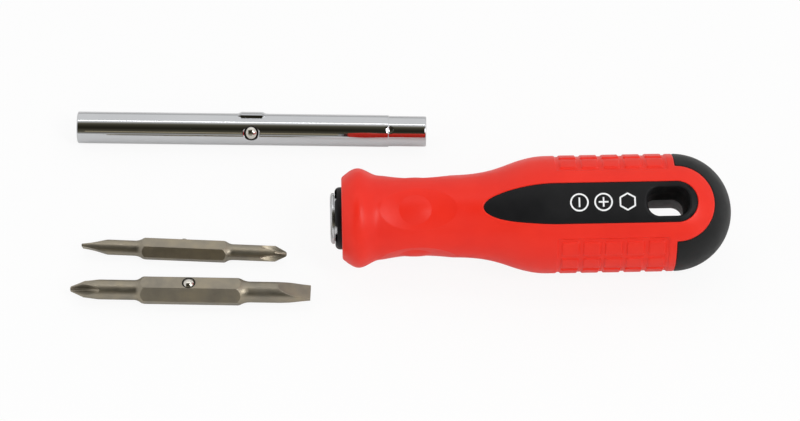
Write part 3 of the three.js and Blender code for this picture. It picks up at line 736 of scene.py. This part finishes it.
def butt_distances(skin):
    """Signed distances from the butt's straight seam and the tongue's round one: above 0 on the butt."""
    fore = skin.along - BUTT_CENTRE
    return fore, np.hypot(fore, skin.base * skin.sine) - TONGUE_RADIUS


def hole_distance(skin):
    across = skin.base * skin.sine
    return box_distance(skin.along - HOLE_AT, across, HOLE_LENGTH, HOLE_WIDTH, HOLE_CORNER)


def seam_drop(distance):
    return SEAM_DROP * np.maximum(1 - np.abs(distance) / SEAM_ROUND, 0) ** 2


def handle_body():
    """The outside of the whole handle as one closed mesh, with its scoops, pads and seams."""
    skin = Skin(handle_profile(), 168)
    for share in (0.97, 1, 1.03):
        skin.insert(scoop_shares(skin)[0] - share)
        skin.insert(scoop_shares(skin)[1] - share)
    for level in PAD_EDGE:
        skin.insert(pad_distances(skin)[0] - level)
    for level in (-FIELD_EDGE, 0, FIELD_EDGE):
        skin.insert(pad_distances(skin)[1] - level)
    for level in (-1, -0.6, -0.25, 0, 0.25, 0.6, 1):
        skin.insert(inlay_distance(skin) - level * SEAM_ROUND)
        skin.insert(np.minimum(*butt_distances(skin)) - level * SEAM_ROUND)
    for share in (0, 0.06, 0.22, 0.5, 1):
        skin.insert(hole_distance(skin) - share * HOLE_ROUND)
    oval, button = scoop_shares(skin)
    scoop = SCOOP_DEPTH * np.maximum(1 - oval ** 2, 0) - BUTTON_RISE * np.maximum(1 - button ** 2, 0)
    pad, field = pad_distances(skin)
    raised = PAD_RISE - (PAD_RISE + PAD_GROOVE) * smooth(PAD_EDGE[0], PAD_EDGE[-1], pad)
    on_grip = (skin.along > NECK_AT) & (skin.along < BUTT_CENTRE)
    pads = np.where(on_grip, raised * smooth(FIELD_EDGE, -FIELD_EDGE, field), 0)
    straight, tongue = butt_distances(skin)
    on_straight = tongue > SEAM_ROUND
    drop = np.where(on_straight & (straight <= tongue), seam_drop(straight), 0)
    off_tongue = on_straight | (straight < -SEAM_ROUND)
    seam = np.where(off_tongue, 0, seam_drop(np.minimum(straight, tongue)))
    rim = np.clip(1 - hole_distance(skin) / HOLE_ROUND, 0, 1)
    sink = np.maximum(seam_drop(inlay_distance(skin)), seam)
    sink = sink + HOLE_ROUND * (1 - np.sqrt(np.maximum(1 - rim ** 2, 0)))
    radius = np.where(skin.base > 0, skin.base - scoop * (skin.base > NECK_RADIUS / 2) + pads - drop, 0)
    return skin.build("body", HANDLE, radius, sink)


def tongue_outline(margin):
    """The soft grip's reach seen along the inlay's normal: up to a straight seam, with a round tongue."""
    radius = TONGUE_RADIUS + margin
    end = BUTT_CENTRE + margin
    low = degrees(asin(margin / radius))
    side = arc((BUTT_CENTRE, 0), radius, -90 + low, 90 - low, 64)
    return [(-CUT, -CUT), (end, -CUT), *side, (end, CUT), (-CUT, CUT)]


def core_plug(margin):
    """The core inside the soft grip, as a turned solid."""
    neck = COLLAR_RADIUS + margin
    barrel = CORE_RADIUS + margin
    rim = rounded_rim(COLLAR_FACE, neck, COLLAR_ROUND)
    butt = [(BUTT_CENTRE + x, r) for r, x in arc((0, 0), barrel, 0, 90, 24)]
    profile = [(COLLAR_FACE, 0), *rim, (CORE_NECK_END, neck), (CORE_BARREL_AT, barrel), *butt[:-1]]
    return turned("plug", profile + [(BUTT_CENTRE + barrel, 0)], HANDLE, 128)


def hole_outline(inset, longer=0, wider=0):
    """The hanging hole's outline, drawn in all round, or let out towards the butt and to one side."""
    x, y = (HOLE_LENGTH + longer) / 2 - HOLE_CORNER, (HOLE_WIDTH + wider) / 2 - HOLE_CORNER
    at, aside = HOLE_AT + longer / 2, -wider / 2
    return [
        point for cx, cy, start in ((x, -y, -90), (x, y, 0), (-x, y, 90), (-x, -y, 180))
        for point in arc((at + cx, aside + cy), HOLE_CORNER - inset, start, start + 90, 10)
    ]


def hole_cutters():
    """The two halves of the hanging hole, which narrow from a face of the handle to mid depth."""
    narrow, wide, flared = hole_outline(HOLE_DRAFT), hole_outline(0), hole_outline(0, *HOLE_FLARE)
    underside = HANDLE @ Matrix.Rotation(pi, 4, "X")
    return (
        prism((narrow, wide), -HOLE_OVERLAP, GRIP_RADIUS, HANDLE),
        prism((narrow, flared), 0, GRIP_RADIUS, underside),
    )


def through(outline):
    """A cutter that passes right through the handle along the inlay's normal."""
    return prism(outline, -CUT, CUT, HANDLE)


def grip_sleeve(body):
    piece = combine(copied(body), through(tongue_outline(-SEAM_GAP)), "INTERSECT")
    cut(piece, through(inlay_outline(SEAM_GAP)), core_plug(SEAM_GAP))
    piece.name = "soft_grip"
    finish_piece(piece, "handle", "grip_sleeve", "grip_rubber", SOFT_RED)


def handle_core(body):
    butt = cut(copied(body), through(tongue_outline(SEAM_GAP)))
    panels = combine(copied(body), through(inlay_outline(-SEAM_GAP)), "INTERSECT")
    piece = combine(combine(core_plug(0), butt, "UNION"), panels, "UNION")
    bore = [(-1, 0), (-1, BORE_RADIUS), (BORE_DEPTH, BORE_RADIUS), (BORE_DEPTH + BORE_POINT, 0)]
    seat = cylinder(-1, FERRULE_LENGTH + FERRULE_GAP, FERRULE_RADIUS + FERRULE_GAP)
    cut(piece, turned("bore", bore, HANDLE), turned("seat", seat, HANDLE))
    half = NOTCH_WIDTH / 2
    for k in range(NOTCH_COUNT):
        turn = Matrix.Rotation(radians((k + 0.5) * 360 / NOTCH_COUNT), 4, "X")
        cut(piece, block((0, -half, 0), (COLLAR_FACE + NOTCH_DEPTH, half, CUT), HANDLE @ turn))
    seam = prism(hole_outline(HOLE_DRAFT / 2), -HOLE_SEAM / 2, HOLE_SEAM / 2, HANDLE)
    cut(piece, *hole_cutters(), seam)
    piece.name = "moulded_core"
    finish_piece(piece, "handle", "handle_core", "core_plastic", HARD_BLACK, SOFT_BLACK, HOLE_SHADE_BLACK)
    home = HANDLE.inverted()
    reach, side = HOLE_LENGTH / 2 + HOLE_MARGIN[0], HOLE_WIDTH / 2 + HOLE_MARGIN[1]
    for face in piece.data.polygons:
        x, y, z = home @ face.center
        on_butt = x > BUTT_CENTRE and hypot(x - BUTT_CENTRE, y) > TONGUE_RADIUS
        if abs(x - HOLE_AT) < reach and abs(y) < side and abs(z) < GRIP_RADIUS - HOLE_ROUND:
            # painted shade: the upper half of the hole's wall takes the darker copy of the core's black
            face.material_index = 2 if z > -HOLE_SEAM / 2 else 0
        else:
            face.material_index = int(on_butt)


def ferrule():
    front = [
        (FLANGE_DOME * (1 - cos(t)), FLANGE_FLAT + (FLANGE_RADIUS - FLANGE_FLAT) * sin(t))
        for t in np.linspace(0, pi / 2, 10)
    ]
    outside = [
        (0, 0), *front, (FLANGE_THICKNESS - FLANGE_BEVEL, FLANGE_RADIUS),
        (FLANGE_THICKNESS, FLANGE_RADIUS - FLANGE_BEVEL), (FLANGE_THICKNESS, FERRULE_RADIUS),
        (FERRULE_LENGTH, FERRULE_RADIUS), (FERRULE_LENGTH, 0),
    ]
    groove = EAR_LENGTH / 2
    mouth = BORE_RADIUS + MOUTH_BEVEL
    inside = [
        (-1, 0), (-1, mouth), (0, mouth), (MOUTH_BEVEL, BORE_RADIUS), (groove - BALL_GROOVE, BORE_RADIUS),
        (groove, FERRULE_RADIUS - BALL_GROOVE_WALL), (groove + BALL_GROOVE, BORE_RADIUS),
        (FERRULE_LENGTH + 1, BORE_RADIUS), (FERRULE_LENGTH + 1, 0),
    ]
    end, reach, half = EAR_LENGTH + EAR_FIT[0], EAR_RADIUS + EAR_FIT[1], EAR_WIDTH / 2 + EAR_FIT[2]
    slot = block((-1, 0, -half), (end, reach, half), HANDLE)
    piece = cut(turned("mouth_ferrule", outside, HANDLE, 128), turned("inside", inside, HANDLE, 128), slot)
    finish_piece(piece, "handle", "ferrule", "ferrule_steel", FERRULE_STEEL)


def printed_signs():
    """Three plain signs in white print: a slotted head, a cross head and a hexagon."""
    points, faces = [], []

    def stroke(path, closed):
        """A flat line along a path, a little proud of the inlay."""
        path = np.array(path, float)
        along = np.roll(path, -1, 0) - np.roll(path, 1, 0) if closed else np.gradient(path, axis=0)
        normal = np.c_[-along[:, 1], along[:, 0]] / np.linalg.norm(along, axis=1)[:, None]
        start, count = len(points), len(path)
        for edge, lift in ((1, SIGN_RISE), (-1, SIGN_RISE), (-1, -SIGN_SINK), (1, -SIGN_SINK)):
            for x, y in path + edge * normal * SIGN_STROKE / 2:
                points.append((x, y, sqrt(GRIP_RADIUS ** 2 - y * y) + lift))
        rows = [[start + side * count + k for side in range(4)] for k in range(count)]
        faces.extend(swept(rows, closed))

    slot, cross, hexagon = SIGN_PLACES
    for centre in (slot, cross):
        stroke(arc((centre, 0), SIGN_RADIUS, 0, 360, 72)[:-1], True)
        stroke([(centre, y) for y in even(-SIGN_BAR, SIGN_BAR, 0.3)], False)
    for sign in (-1, 1):
        stroke([(cross + sign * x, 0) for x in even(SIGN_STROKE / 2 + 0.02, SIGN_BAR, 0.3)], False)
    corners = np.array(arc((hexagon, 0), SIGN_RADIUS, 30, 390, 6))
    sides = zip(corners, corners[1:])
    stroke([mix(a, b, t) for a, b in sides for t in np.linspace(0, 1, 9)[:-1]], True)
    piece = solid("printed_tip_signs", points, faces, HANDLE)
    finish_piece(piece, "handle", None, "core_plastic", WHITE_PRINT)


# Detents


def ball_height(detent, surface):
    reach = detent.ball + BALL_LIP_GAP
    return surface - detent.lip_thickness - sqrt(reach ** 2 - detent.lip ** 2)


def detent_cutter(detent, surface, matrix, floor):
    """The well of a ball and its spring, with a narrower lip and a dished edge."""
    well = detent.ball + BALL_HOLE_FIT
    lip = surface - detent.lip_thickness
    dish = surface - detent.dish_depth
    clear = surface + 3
    profile = [
        (floor, 0), (floor, well), (lip, well), (lip, detent.lip), (dish, detent.mouth),
        (surface + 0.02, detent.dish), (clear, detent.dish + 0.6), (clear, 0),
    ]
    return upright(profile, matrix @ Matrix.Translation((detent.at, 0, 0)))


def darken_well(piece, detent, surface, matrix):
    """Gives the faces in and round a ball's well the piece's second material: oily dirt and painted shade."""
    home = (matrix @ Matrix.Translation((detent.at, 0, 0))).inverted()
    for face in piece.data.polygons:
        x, y, z = home @ face.center
        if hypot(x, y) < detent.grime and surface - detent.depth - 0.1 < z < surface:
            face.material_index = 1


def ball(name, detent, surface, matrix):
    made = bmesh.new()
    place = matrix @ Matrix.Translation((detent.at, 0, ball_height(detent, surface)))
    bmesh.ops.create_icosphere(made, subdivisions=5, radius=detent.ball, matrix=place)
    piece_name = f"{name}_detent_ball"
    mesh = bpy.data.meshes.new(piece_name)
    made.to_mesh(mesh)
    made.free()
    finish_piece(linked(piece_name, mesh), f"{name}_detent", f"{name}_ball", "ball_steel", BALL_STEEL)


def spring(name, detent, surface, matrix):
    """A coil that stands on the well's floor and reaches up to just under the ball."""
    half = detent.wire / 2
    low = surface - detent.depth + SPRING_END_GAP + half
    high = ball_height(detent, surface) - detent.ball - SPRING_END_GAP - half
    sides, steps = SPRING_SIDES, round(SPRING_STEPS * detent.turns)
    turn = np.linspace(0, 2 * pi * detent.turns, steps + 1)[:, None]
    side = np.arange(sides) * 2 * pi / sides
    reach = detent.coil + half * np.cos(side)
    height = np.linspace(low, high, steps + 1)[:, None] + half * np.sin(side)
    points = np.stack([detent.at + reach * np.cos(turn), reach * np.sin(turn), height], 2).reshape(-1, 3)
    faces = swept([range(k * sides, (k + 1) * sides) for k in range(steps + 1)])
    piece = solid(f"{name}_detent_spring", points, faces, matrix)
    finish_piece(piece, name, f"{name}_spring", "spring_steel", SPRING_STEEL)
    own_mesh(piece)


# Shaft


def shaft_profile():
    """The outside of the tube before its ear is pinched."""
    half = SHAFT_LENGTH / 2
    step = half - SHAFT_END_LENGTH
    left = rounded_rim(-half, SHAFT_RADIUS, SHAFT_EDGE)
    right = [(-x, r) for x, r in reversed(rounded_rim(-half, SHAFT_END_RADIUS, SHAFT_EDGE))]
    slope = [
        (step + SHAFT_STEP * t, mix(SHAFT_RADIUS, SHAFT_END_RADIUS, smooth(0, 1, t)))
        for t in np.linspace(0, 1, 9)
    ]
    plain = [
        *even(-half + SHAFT_EDGE + 3, -7.2, 4), *even(-7, 7, 0.18), *even(9, step - 1, 4),
        *(sign * x for x in (EAR_LENGTH / 2, EAR_TOP) for sign in (-1, 1)),
    ]
    punch = half - PUNCH_AT
    drawn = [x for x in even(punch - 1.5, punch + 1.5, 0.15) if x > slope[-1][0] + 0.1]
    wide = [(x, SHAFT_RADIUS) for x in sorted(plain)]
    narrow = [(x, SHAFT_END_RADIUS) for x in drawn]
    return [(-half, 0), *left, *wide, *slope, *narrow, *right, (half, 0)]


def ear_limits(skin):
    """How far out the pinched ear and the pressed flats beside it reach."""
    turn = np.abs(np.arctan2(skin.cosine, skin.sine))
    facing = turn < pi / 2
    beyond = np.abs(skin.along)
    lean = tan(EAR_LEAN)
    base = EAR_WIDTH / 2 + lean * (EAR_RADIUS + POCKET_FLOOR) / 2
    ridge = np.minimum(EAR_RADIUS, base / np.maximum(np.sin(turn) + lean * np.cos(turn), TINY))
    ramp = np.clip((beyond - EAR_TOP) / EAR_RAMP, 0, 1)
    ridge = np.where(facing, ridge - (EAR_RADIUS - SHAFT_RADIUS + 0.02) * ramp, 0)
    flat = np.where(facing, POCKET_FLOOR / np.maximum(np.cos(turn), TINY), CUT)
    start, end = POCKET_RUN
    run_out = smooth(EAR_TOP + start, EAR_TOP + end, beyond)
    return ridge, flat + 2 * (SHAFT_RADIUS - POCKET_FLOOR) * run_out


def socket(flats, low, high):
    hexagon = arc((0, 0), flats / sqrt(3), 0, 360, 6)[:-1]
    along = Matrix(((0, 0, 1, 0), (1, 0, 0, 0), (0, 1, 0, 0), (0, 0, 0, 1)))
    return prism(hexagon, low, high, SHAFT @ along)


def shaft_tube():
    skin = Skin(shaft_profile(), 216)
    for level in (-0.12, 0, 0.12):
        skin.insert(ear_limits(skin)[1] - skin.base - level)
    for level in (-0.1, 0, 0.1):
        ridge, flat = ear_limits(skin)
        skin.insert(ridge - least(flat, skin.base, EAR_SOFTNESS) - level)
    ridge, flat = ear_limits(skin)
    eared = -least(-ridge, -least(flat, skin.base, EAR_SOFTNESS), EAR_SOFTNESS)
    radius = np.where(np.abs(skin.along) < EAR_LENGTH / 2 + 0.5, eared, skin.base)
    half = SHAFT_LENGTH / 2
    around = np.arctan2(skin.sine, skin.cosine) - PUNCH_TURN
    dent = np.hypot(skin.along - (half - PUNCH_AT), around * SHAFT_END_RADIUS) / PUNCH_RADIUS
    radius = np.where(skin.base > 0, radius - PUNCH_DEPTH * np.maximum(1 - dent ** 2, 0), 0)
    piece = skin.build("drive_shaft", SHAFT, radius)
    step = half - SHAFT_END_LENGTH
    deep = -half + LARGE_BIT.hex
    cut(
        piece,
        turned("bore", cylinder(deep - 1, step, LARGE_SOCKET / 2), SHAFT),
        socket(LARGE_SOCKET, -half - 1, deep),
        socket(SMALL_SOCKET, step - 1, half + 1),
        detent_cutter(SHAFT_DETENT, SHAFT_RADIUS, SHAFT, 0),
    )
    for end, flats in ((-half, LARGE_SOCKET), (half, SMALL_SOCKET)):
        inner, outer = (flats / 2 + extra for extra in FUNNEL_RADII)
        inside = end - copysign(FUNNEL_DEPTH, end)
        outside = end + copysign(FUNNEL_RISE, end)
        funnel = [(outside, 0), (outside, outer), (inside, inner), (inside, 0)]
        cut(piece, turned("funnel", funnel[::-1] if end > 0 else funnel, SHAFT))
    finish_piece(piece, "shaft", "shaft_tube", "shaft_chrome", CHROME, WELL_DIRT_AND_SHADE)
    darken_well(piece, SHAFT_DETENT, SHAFT_RADIUS, SHAFT)


def shaft_plug():
    half, narrow = PLUG_LENGTH / 2, PLUG_RADIUS - PLUG_EDGE
    profile = [
        (-half, 0), (-half, narrow), (-half + PLUG_EDGE, PLUG_RADIUS), (half - PLUG_EDGE, PLUG_RADIUS),
        (half, narrow), (half, 0),
    ]
    floor = SHAFT_RADIUS - SHAFT_DETENT.depth
    well = SHAFT_DETENT.ball + BALL_HOLE_FIT
    piece = cut(turned("bit_stop", profile, SHAFT), upright(cylinder(floor, CUT, well), SHAFT))
    finish_piece(piece, "shaft", "shaft_plug", "plug_steel", PLUG_STEEL)


# Bits


def bit_profile(bit):
    """The outside of a bit before its hexagon, blade and flutes are cut."""
    half = bit.hex / 2
    flat, corner = bit.flats / 2, bit.flats / sqrt(3)
    chamfer = (corner - flat) / tan(CHAMFER_ANGLE)
    nose, tip = -half - bit.cross, half + bit.blade
    land = corner - HEX_LAND

    def shoulder(end, length, radius):
        away = copysign(length, end)
        return [(end + away * (1 - t), mix(radius, flat, t ** SHOULDER_CURVE)) for t in np.linspace(0, 1, 12)]

    def bevel(end):
        inward = copysign(chamfer, -end)
        return [(end + inward * t, min(mix(flat, corner, t), land)) for t in np.linspace(0, 1, 7)]

    cone = [(nose + x, mix(bit.nose, bit.cone_radius, x / bit.cone)) for x in even(0.25, bit.cone, 0.2)]
    flute = [
        (nose + x, mix(bit.cone_radius, bit.cross_radius, smooth(bit.cone, bit.flute, x)))
        for x in even(bit.cone, bit.flute + 1, 0.25)[1:]
    ]
    shank = [(x, bit.cross_radius) for x in even(flute[-1][0], -half - bit.shoulder, 1.2)[1:-1]]
    front = [(nose, 0), (nose, bit.nose * 0.5), (nose + 0.08, bit.nose * 0.85), *cone, *flute, *shank]
    far = half - HEX_TRIM
    body = [*shoulder(-half, bit.shoulder, bit.cross_radius), *bevel(-half)[1:]]
    body += [(x, land) for x in even(-half + chamfer, far - chamfer, 0.8)[1:-1]]
    neck = shoulder(far, bit.shoulder + HEX_TRIM, bit.blade_radius)
    body += bevel(far)[::-1] + neck[-2::-1]
    start = tip - bit.taper
    back = [(x, bit.blade_radius) for x in even(half + bit.shoulder, start, 1.0)[1:]]
    blade = [
        (x, mix(bit.blade_radius, bit.tip_radius, smooth(start, tip, x))) for x in even(start, tip, 0.2)[1:]
    ]
    end = [(tip, bit.tip_radius * share) for share in (0.8, 0.6, 0.4, 0.2)]
    return front + body + back + blade + end + [(tip, 0)]


def bit_limits(bit, skin):
    """How far out each cut lets the metal reach: the hexagon, the blade's two faces and the flutes."""
    half = bit.hex / 2
    turn = np.arctan2(skin.sine, skin.cosine)
    sixth = pi / 3
    hexagon = bit.flats / 2 / np.cos(turn - sixth * np.round(turn / sixth))
    nose, tip = -half - bit.cross, half + bit.blade
    share = (skin.along - (tip - bit.taper)) / bit.taper
    thick = mix(bit.blade_radius, bit.tip_thickness / 2, share)
    hollow = BLADE_HOLLOW * bit.blade_radius * np.sin(np.pi * np.clip(share, 0, 1))
    thick = np.where(share > 0, thick - hollow, CUT)
    blade = thick / np.maximum(np.abs(skin.cosine), TINY)
    pitch = 2 * pi / FLUTE_COUNT
    off = turn - pitch * (np.floor(turn / pitch) + 0.5)
    run = np.maximum(skin.along - nose, 0) / bit.flute
    root = mix(bit.root, bit.cross_radius, run ** FLUTE_CURVE)
    lean, curve = FLUTE_ANGLE / 2, bit.flute_round
    apex = root - curve * (1 / sin(lean) - 1)
    opening = np.cos(off) - np.abs(np.sin(off)) / tan(lean)
    wall = np.where(opening > 1e-3, apex / np.maximum(opening, 1e-3), CUT)
    centre = root + curve
    bottom = centre * np.cos(off) - np.sqrt(np.maximum(curve ** 2 - (centre * np.sin(off)) ** 2, 0))
    on_bottom = np.abs(np.tan(off)) < curve * cos(lean) / (centre - curve * sin(lean))
    flute = np.where(skin.along < nose + 2 * bit.flute, np.where(on_bottom, bottom, wall), CUT)
    return hexagon, blade, np.clip(flute, 0, CUT)


def bit_body(name, bit, detent, matrix):
    skin = Skin(bit_profile(bit), 144)
    skin.insert(bit_limits(bit, skin)[0] - skin.base)
    for index in (1, 2):
        for level in (-EDGE_SOFTNESS, 0, EDGE_SOFTNESS):
            skin.insert(bit_limits(bit, skin)[index] - skin.base - level)
    hexagon, blade, flute = bit_limits(bit, skin)
    radius = np.minimum(skin.base, hexagon)
    radius = least(least(radius, blade, EDGE_SOFTNESS), flute, EDGE_SOFTNESS)
    radius = np.where(skin.base > 0, np.maximum(radius, 0.02), 0)
    piece = skin.build(f"{name}_double_ended", matrix, radius)
    surface = bit.flats / 2
    cut(piece, detent_cutter(detent, surface, matrix, surface - detent.depth))
    finish_piece(piece, name, f"{name}_body", "bit_steel", BIT_STEEL, WELL_DIRT_AND_SHADE, sharp=BIT_SHARP_ANGLE)
    darken_well(piece, detent, surface, matrix)


# Stage, light and camera


def floor():
    """A white table that keeps the shadows."""
    bpy.ops.mesh.primitive_plane_add(size=8, location=(0, 0, -0.00004))
    plane = bpy.context.object
    plane.name = "table"
    paint = Paint("white_table", ((8,), (0.3, 0.8), (0.7, 0.82)), 0.9, Specular_IOR_Level=0.2)
    path = paint.node("LightPath")
    mirrored = paint.math("MULTIPLY", path.outputs["Is Glossy Ray"], MIRROR_SHARE)
    share = paint.math("MULTIPLY_ADD", path.outputs["Is Camera Ray"], FLOOR_SHARE, mirrored)
    glow = paint.node("Emission", dict(Color=(1, 1, 1, 1), Strength=1.0)).outputs["Emission"]
    both = paint.node("MixShader", {"Fac": share, 1: paint.shader.outputs["BSDF"], 2: glow})
    paint.put(paint.tree.nodes["Material Output"].inputs["Surface"], both.outputs["Shader"])
    plane.data.materials.append(paint.material)


def surroundings():
    """A pale tent all round, with a dark opening on the camera's side that fades out upwards."""
    world = bpy.data.worlds.new("tent")
    bpy.context.scene.world = world
    world.use_nodes = True
    tent = Nodes(world.node_tree)
    toward = tent.node("TexCoord").outputs["Generated"]
    parts = tent.node("SeparateXYZ", {0: toward})
    south = tent.math("MULTIPLY", parts.outputs["Y"], -1)
    share = tent.math("DIVIDE", tent.math("ARCTAN2", parts.outputs["Z"], south), pi)
    stops = []
    for turn, level in TENT_LEVELS:
        warmth = max(0, 1 - level / TENT_WARM_BELOW)
        red, blue = TENT_WARMTH
        stops.append((turn / 180, (level * (1 + red * warmth), level, level * (1 - blue * warmth))))
    sides = []
    for start, end in TENT_SIDES_AT:
        limits = {"Value": parts.outputs["X"], "From Min": start, "From Max": end}
        past = tent.node("MapRange", limits, interpolation_type="SMOOTHSTEP")
        sides.append(past.outputs["Result"])
    side = (TENT_SIDE, TENT_SIDE, TENT_SIDE, 1)
    shades = dict(Factor=tent.math("MAXIMUM", *sides), A=tent.ramp(share, *stops), B=side)
    colour = tent.node("Mix", shades, data_type="RGBA").outputs["Result"]
    tent.put(tent.tree.nodes["Background"].inputs["Color"], colour)


def lamp(name, place, size, power):
    """A soft rectangular lamp that faces the layout."""
    light = bpy.data.lights.new(name, "AREA")
    light.shape = "RECTANGLE"
    light.size, light.size_y = size
    light.energy = power
    made = linked(name, light)
    made.location = place
    made.rotation_euler = (LAMP_TARGET - Vector(place)).to_track_quat("-Z", "Y").to_euler()
    return made


def lights():
    lamp("strip", place=(0, 0.28, 1.47), size=(2.4, 0.045), power=1.7)
    lamp("left", place=(-1.1, -0.5, 0.7), size=(0.8, 0.8), power=3).visible_glossy = False
    lamp("right", place=(0.7, -0.64, 0.95), size=(0.32, 0.8), power=6.4)
    card = lamp("card", place=(-0.18, -1.22, 0.44), size=(0.25, 0.13), power=0.03)
    card.data.color = (1.0, 0.82, 0.55)
    lamp("fill", place=(0, -1.05, 0.65), size=(1.2, 0.9), power=3.5).visible_glossy = False


def camera():
    data = bpy.data.cameras.new("camera")
    data.lens = CAMERA_LENS
    data.sensor_width = 36
    data.clip_start, data.clip_end = 0.05, 20
    eye = linked("camera", data)
    back = Vector((0, -cos(CAMERA_ELEVATION), sin(CAMERA_ELEVATION)))
    eye.location = CAMERA_TARGET + back * CAMERA_DISTANCE
    eye.rotation_euler = (pi / 2 - CAMERA_ELEVATION, 0, 0)
    bpy.context.scene.camera = eye


# Assembly

body = handle_body()
grip_sleeve(body)
handle_core(body)
bpy.data.objects.remove(body)
ferrule()
printed_signs()

shaft_tube()
shaft_plug()
ball("shaft", SHAFT_DETENT, SHAFT_RADIUS, SHAFT)
spring("shaft", SHAFT_DETENT, SHAFT_RADIUS, SHAFT)
for name, bit, detent, matrix in (
    ("large_bit", LARGE_BIT, LARGE_DETENT, LARGE),
    ("small_bit", SMALL_BIT, SMALL_DETENT, SMALL),
):
    bit_body(name, bit, detent, matrix)
    ball(name, detent, bit.flats / 2, matrix)
    spring(name, detent, bit.flats / 2, matrix)

floor()
surroundings()
lights()
camera()
bpy.context.scene.view_settings.view_transform = "Standard"
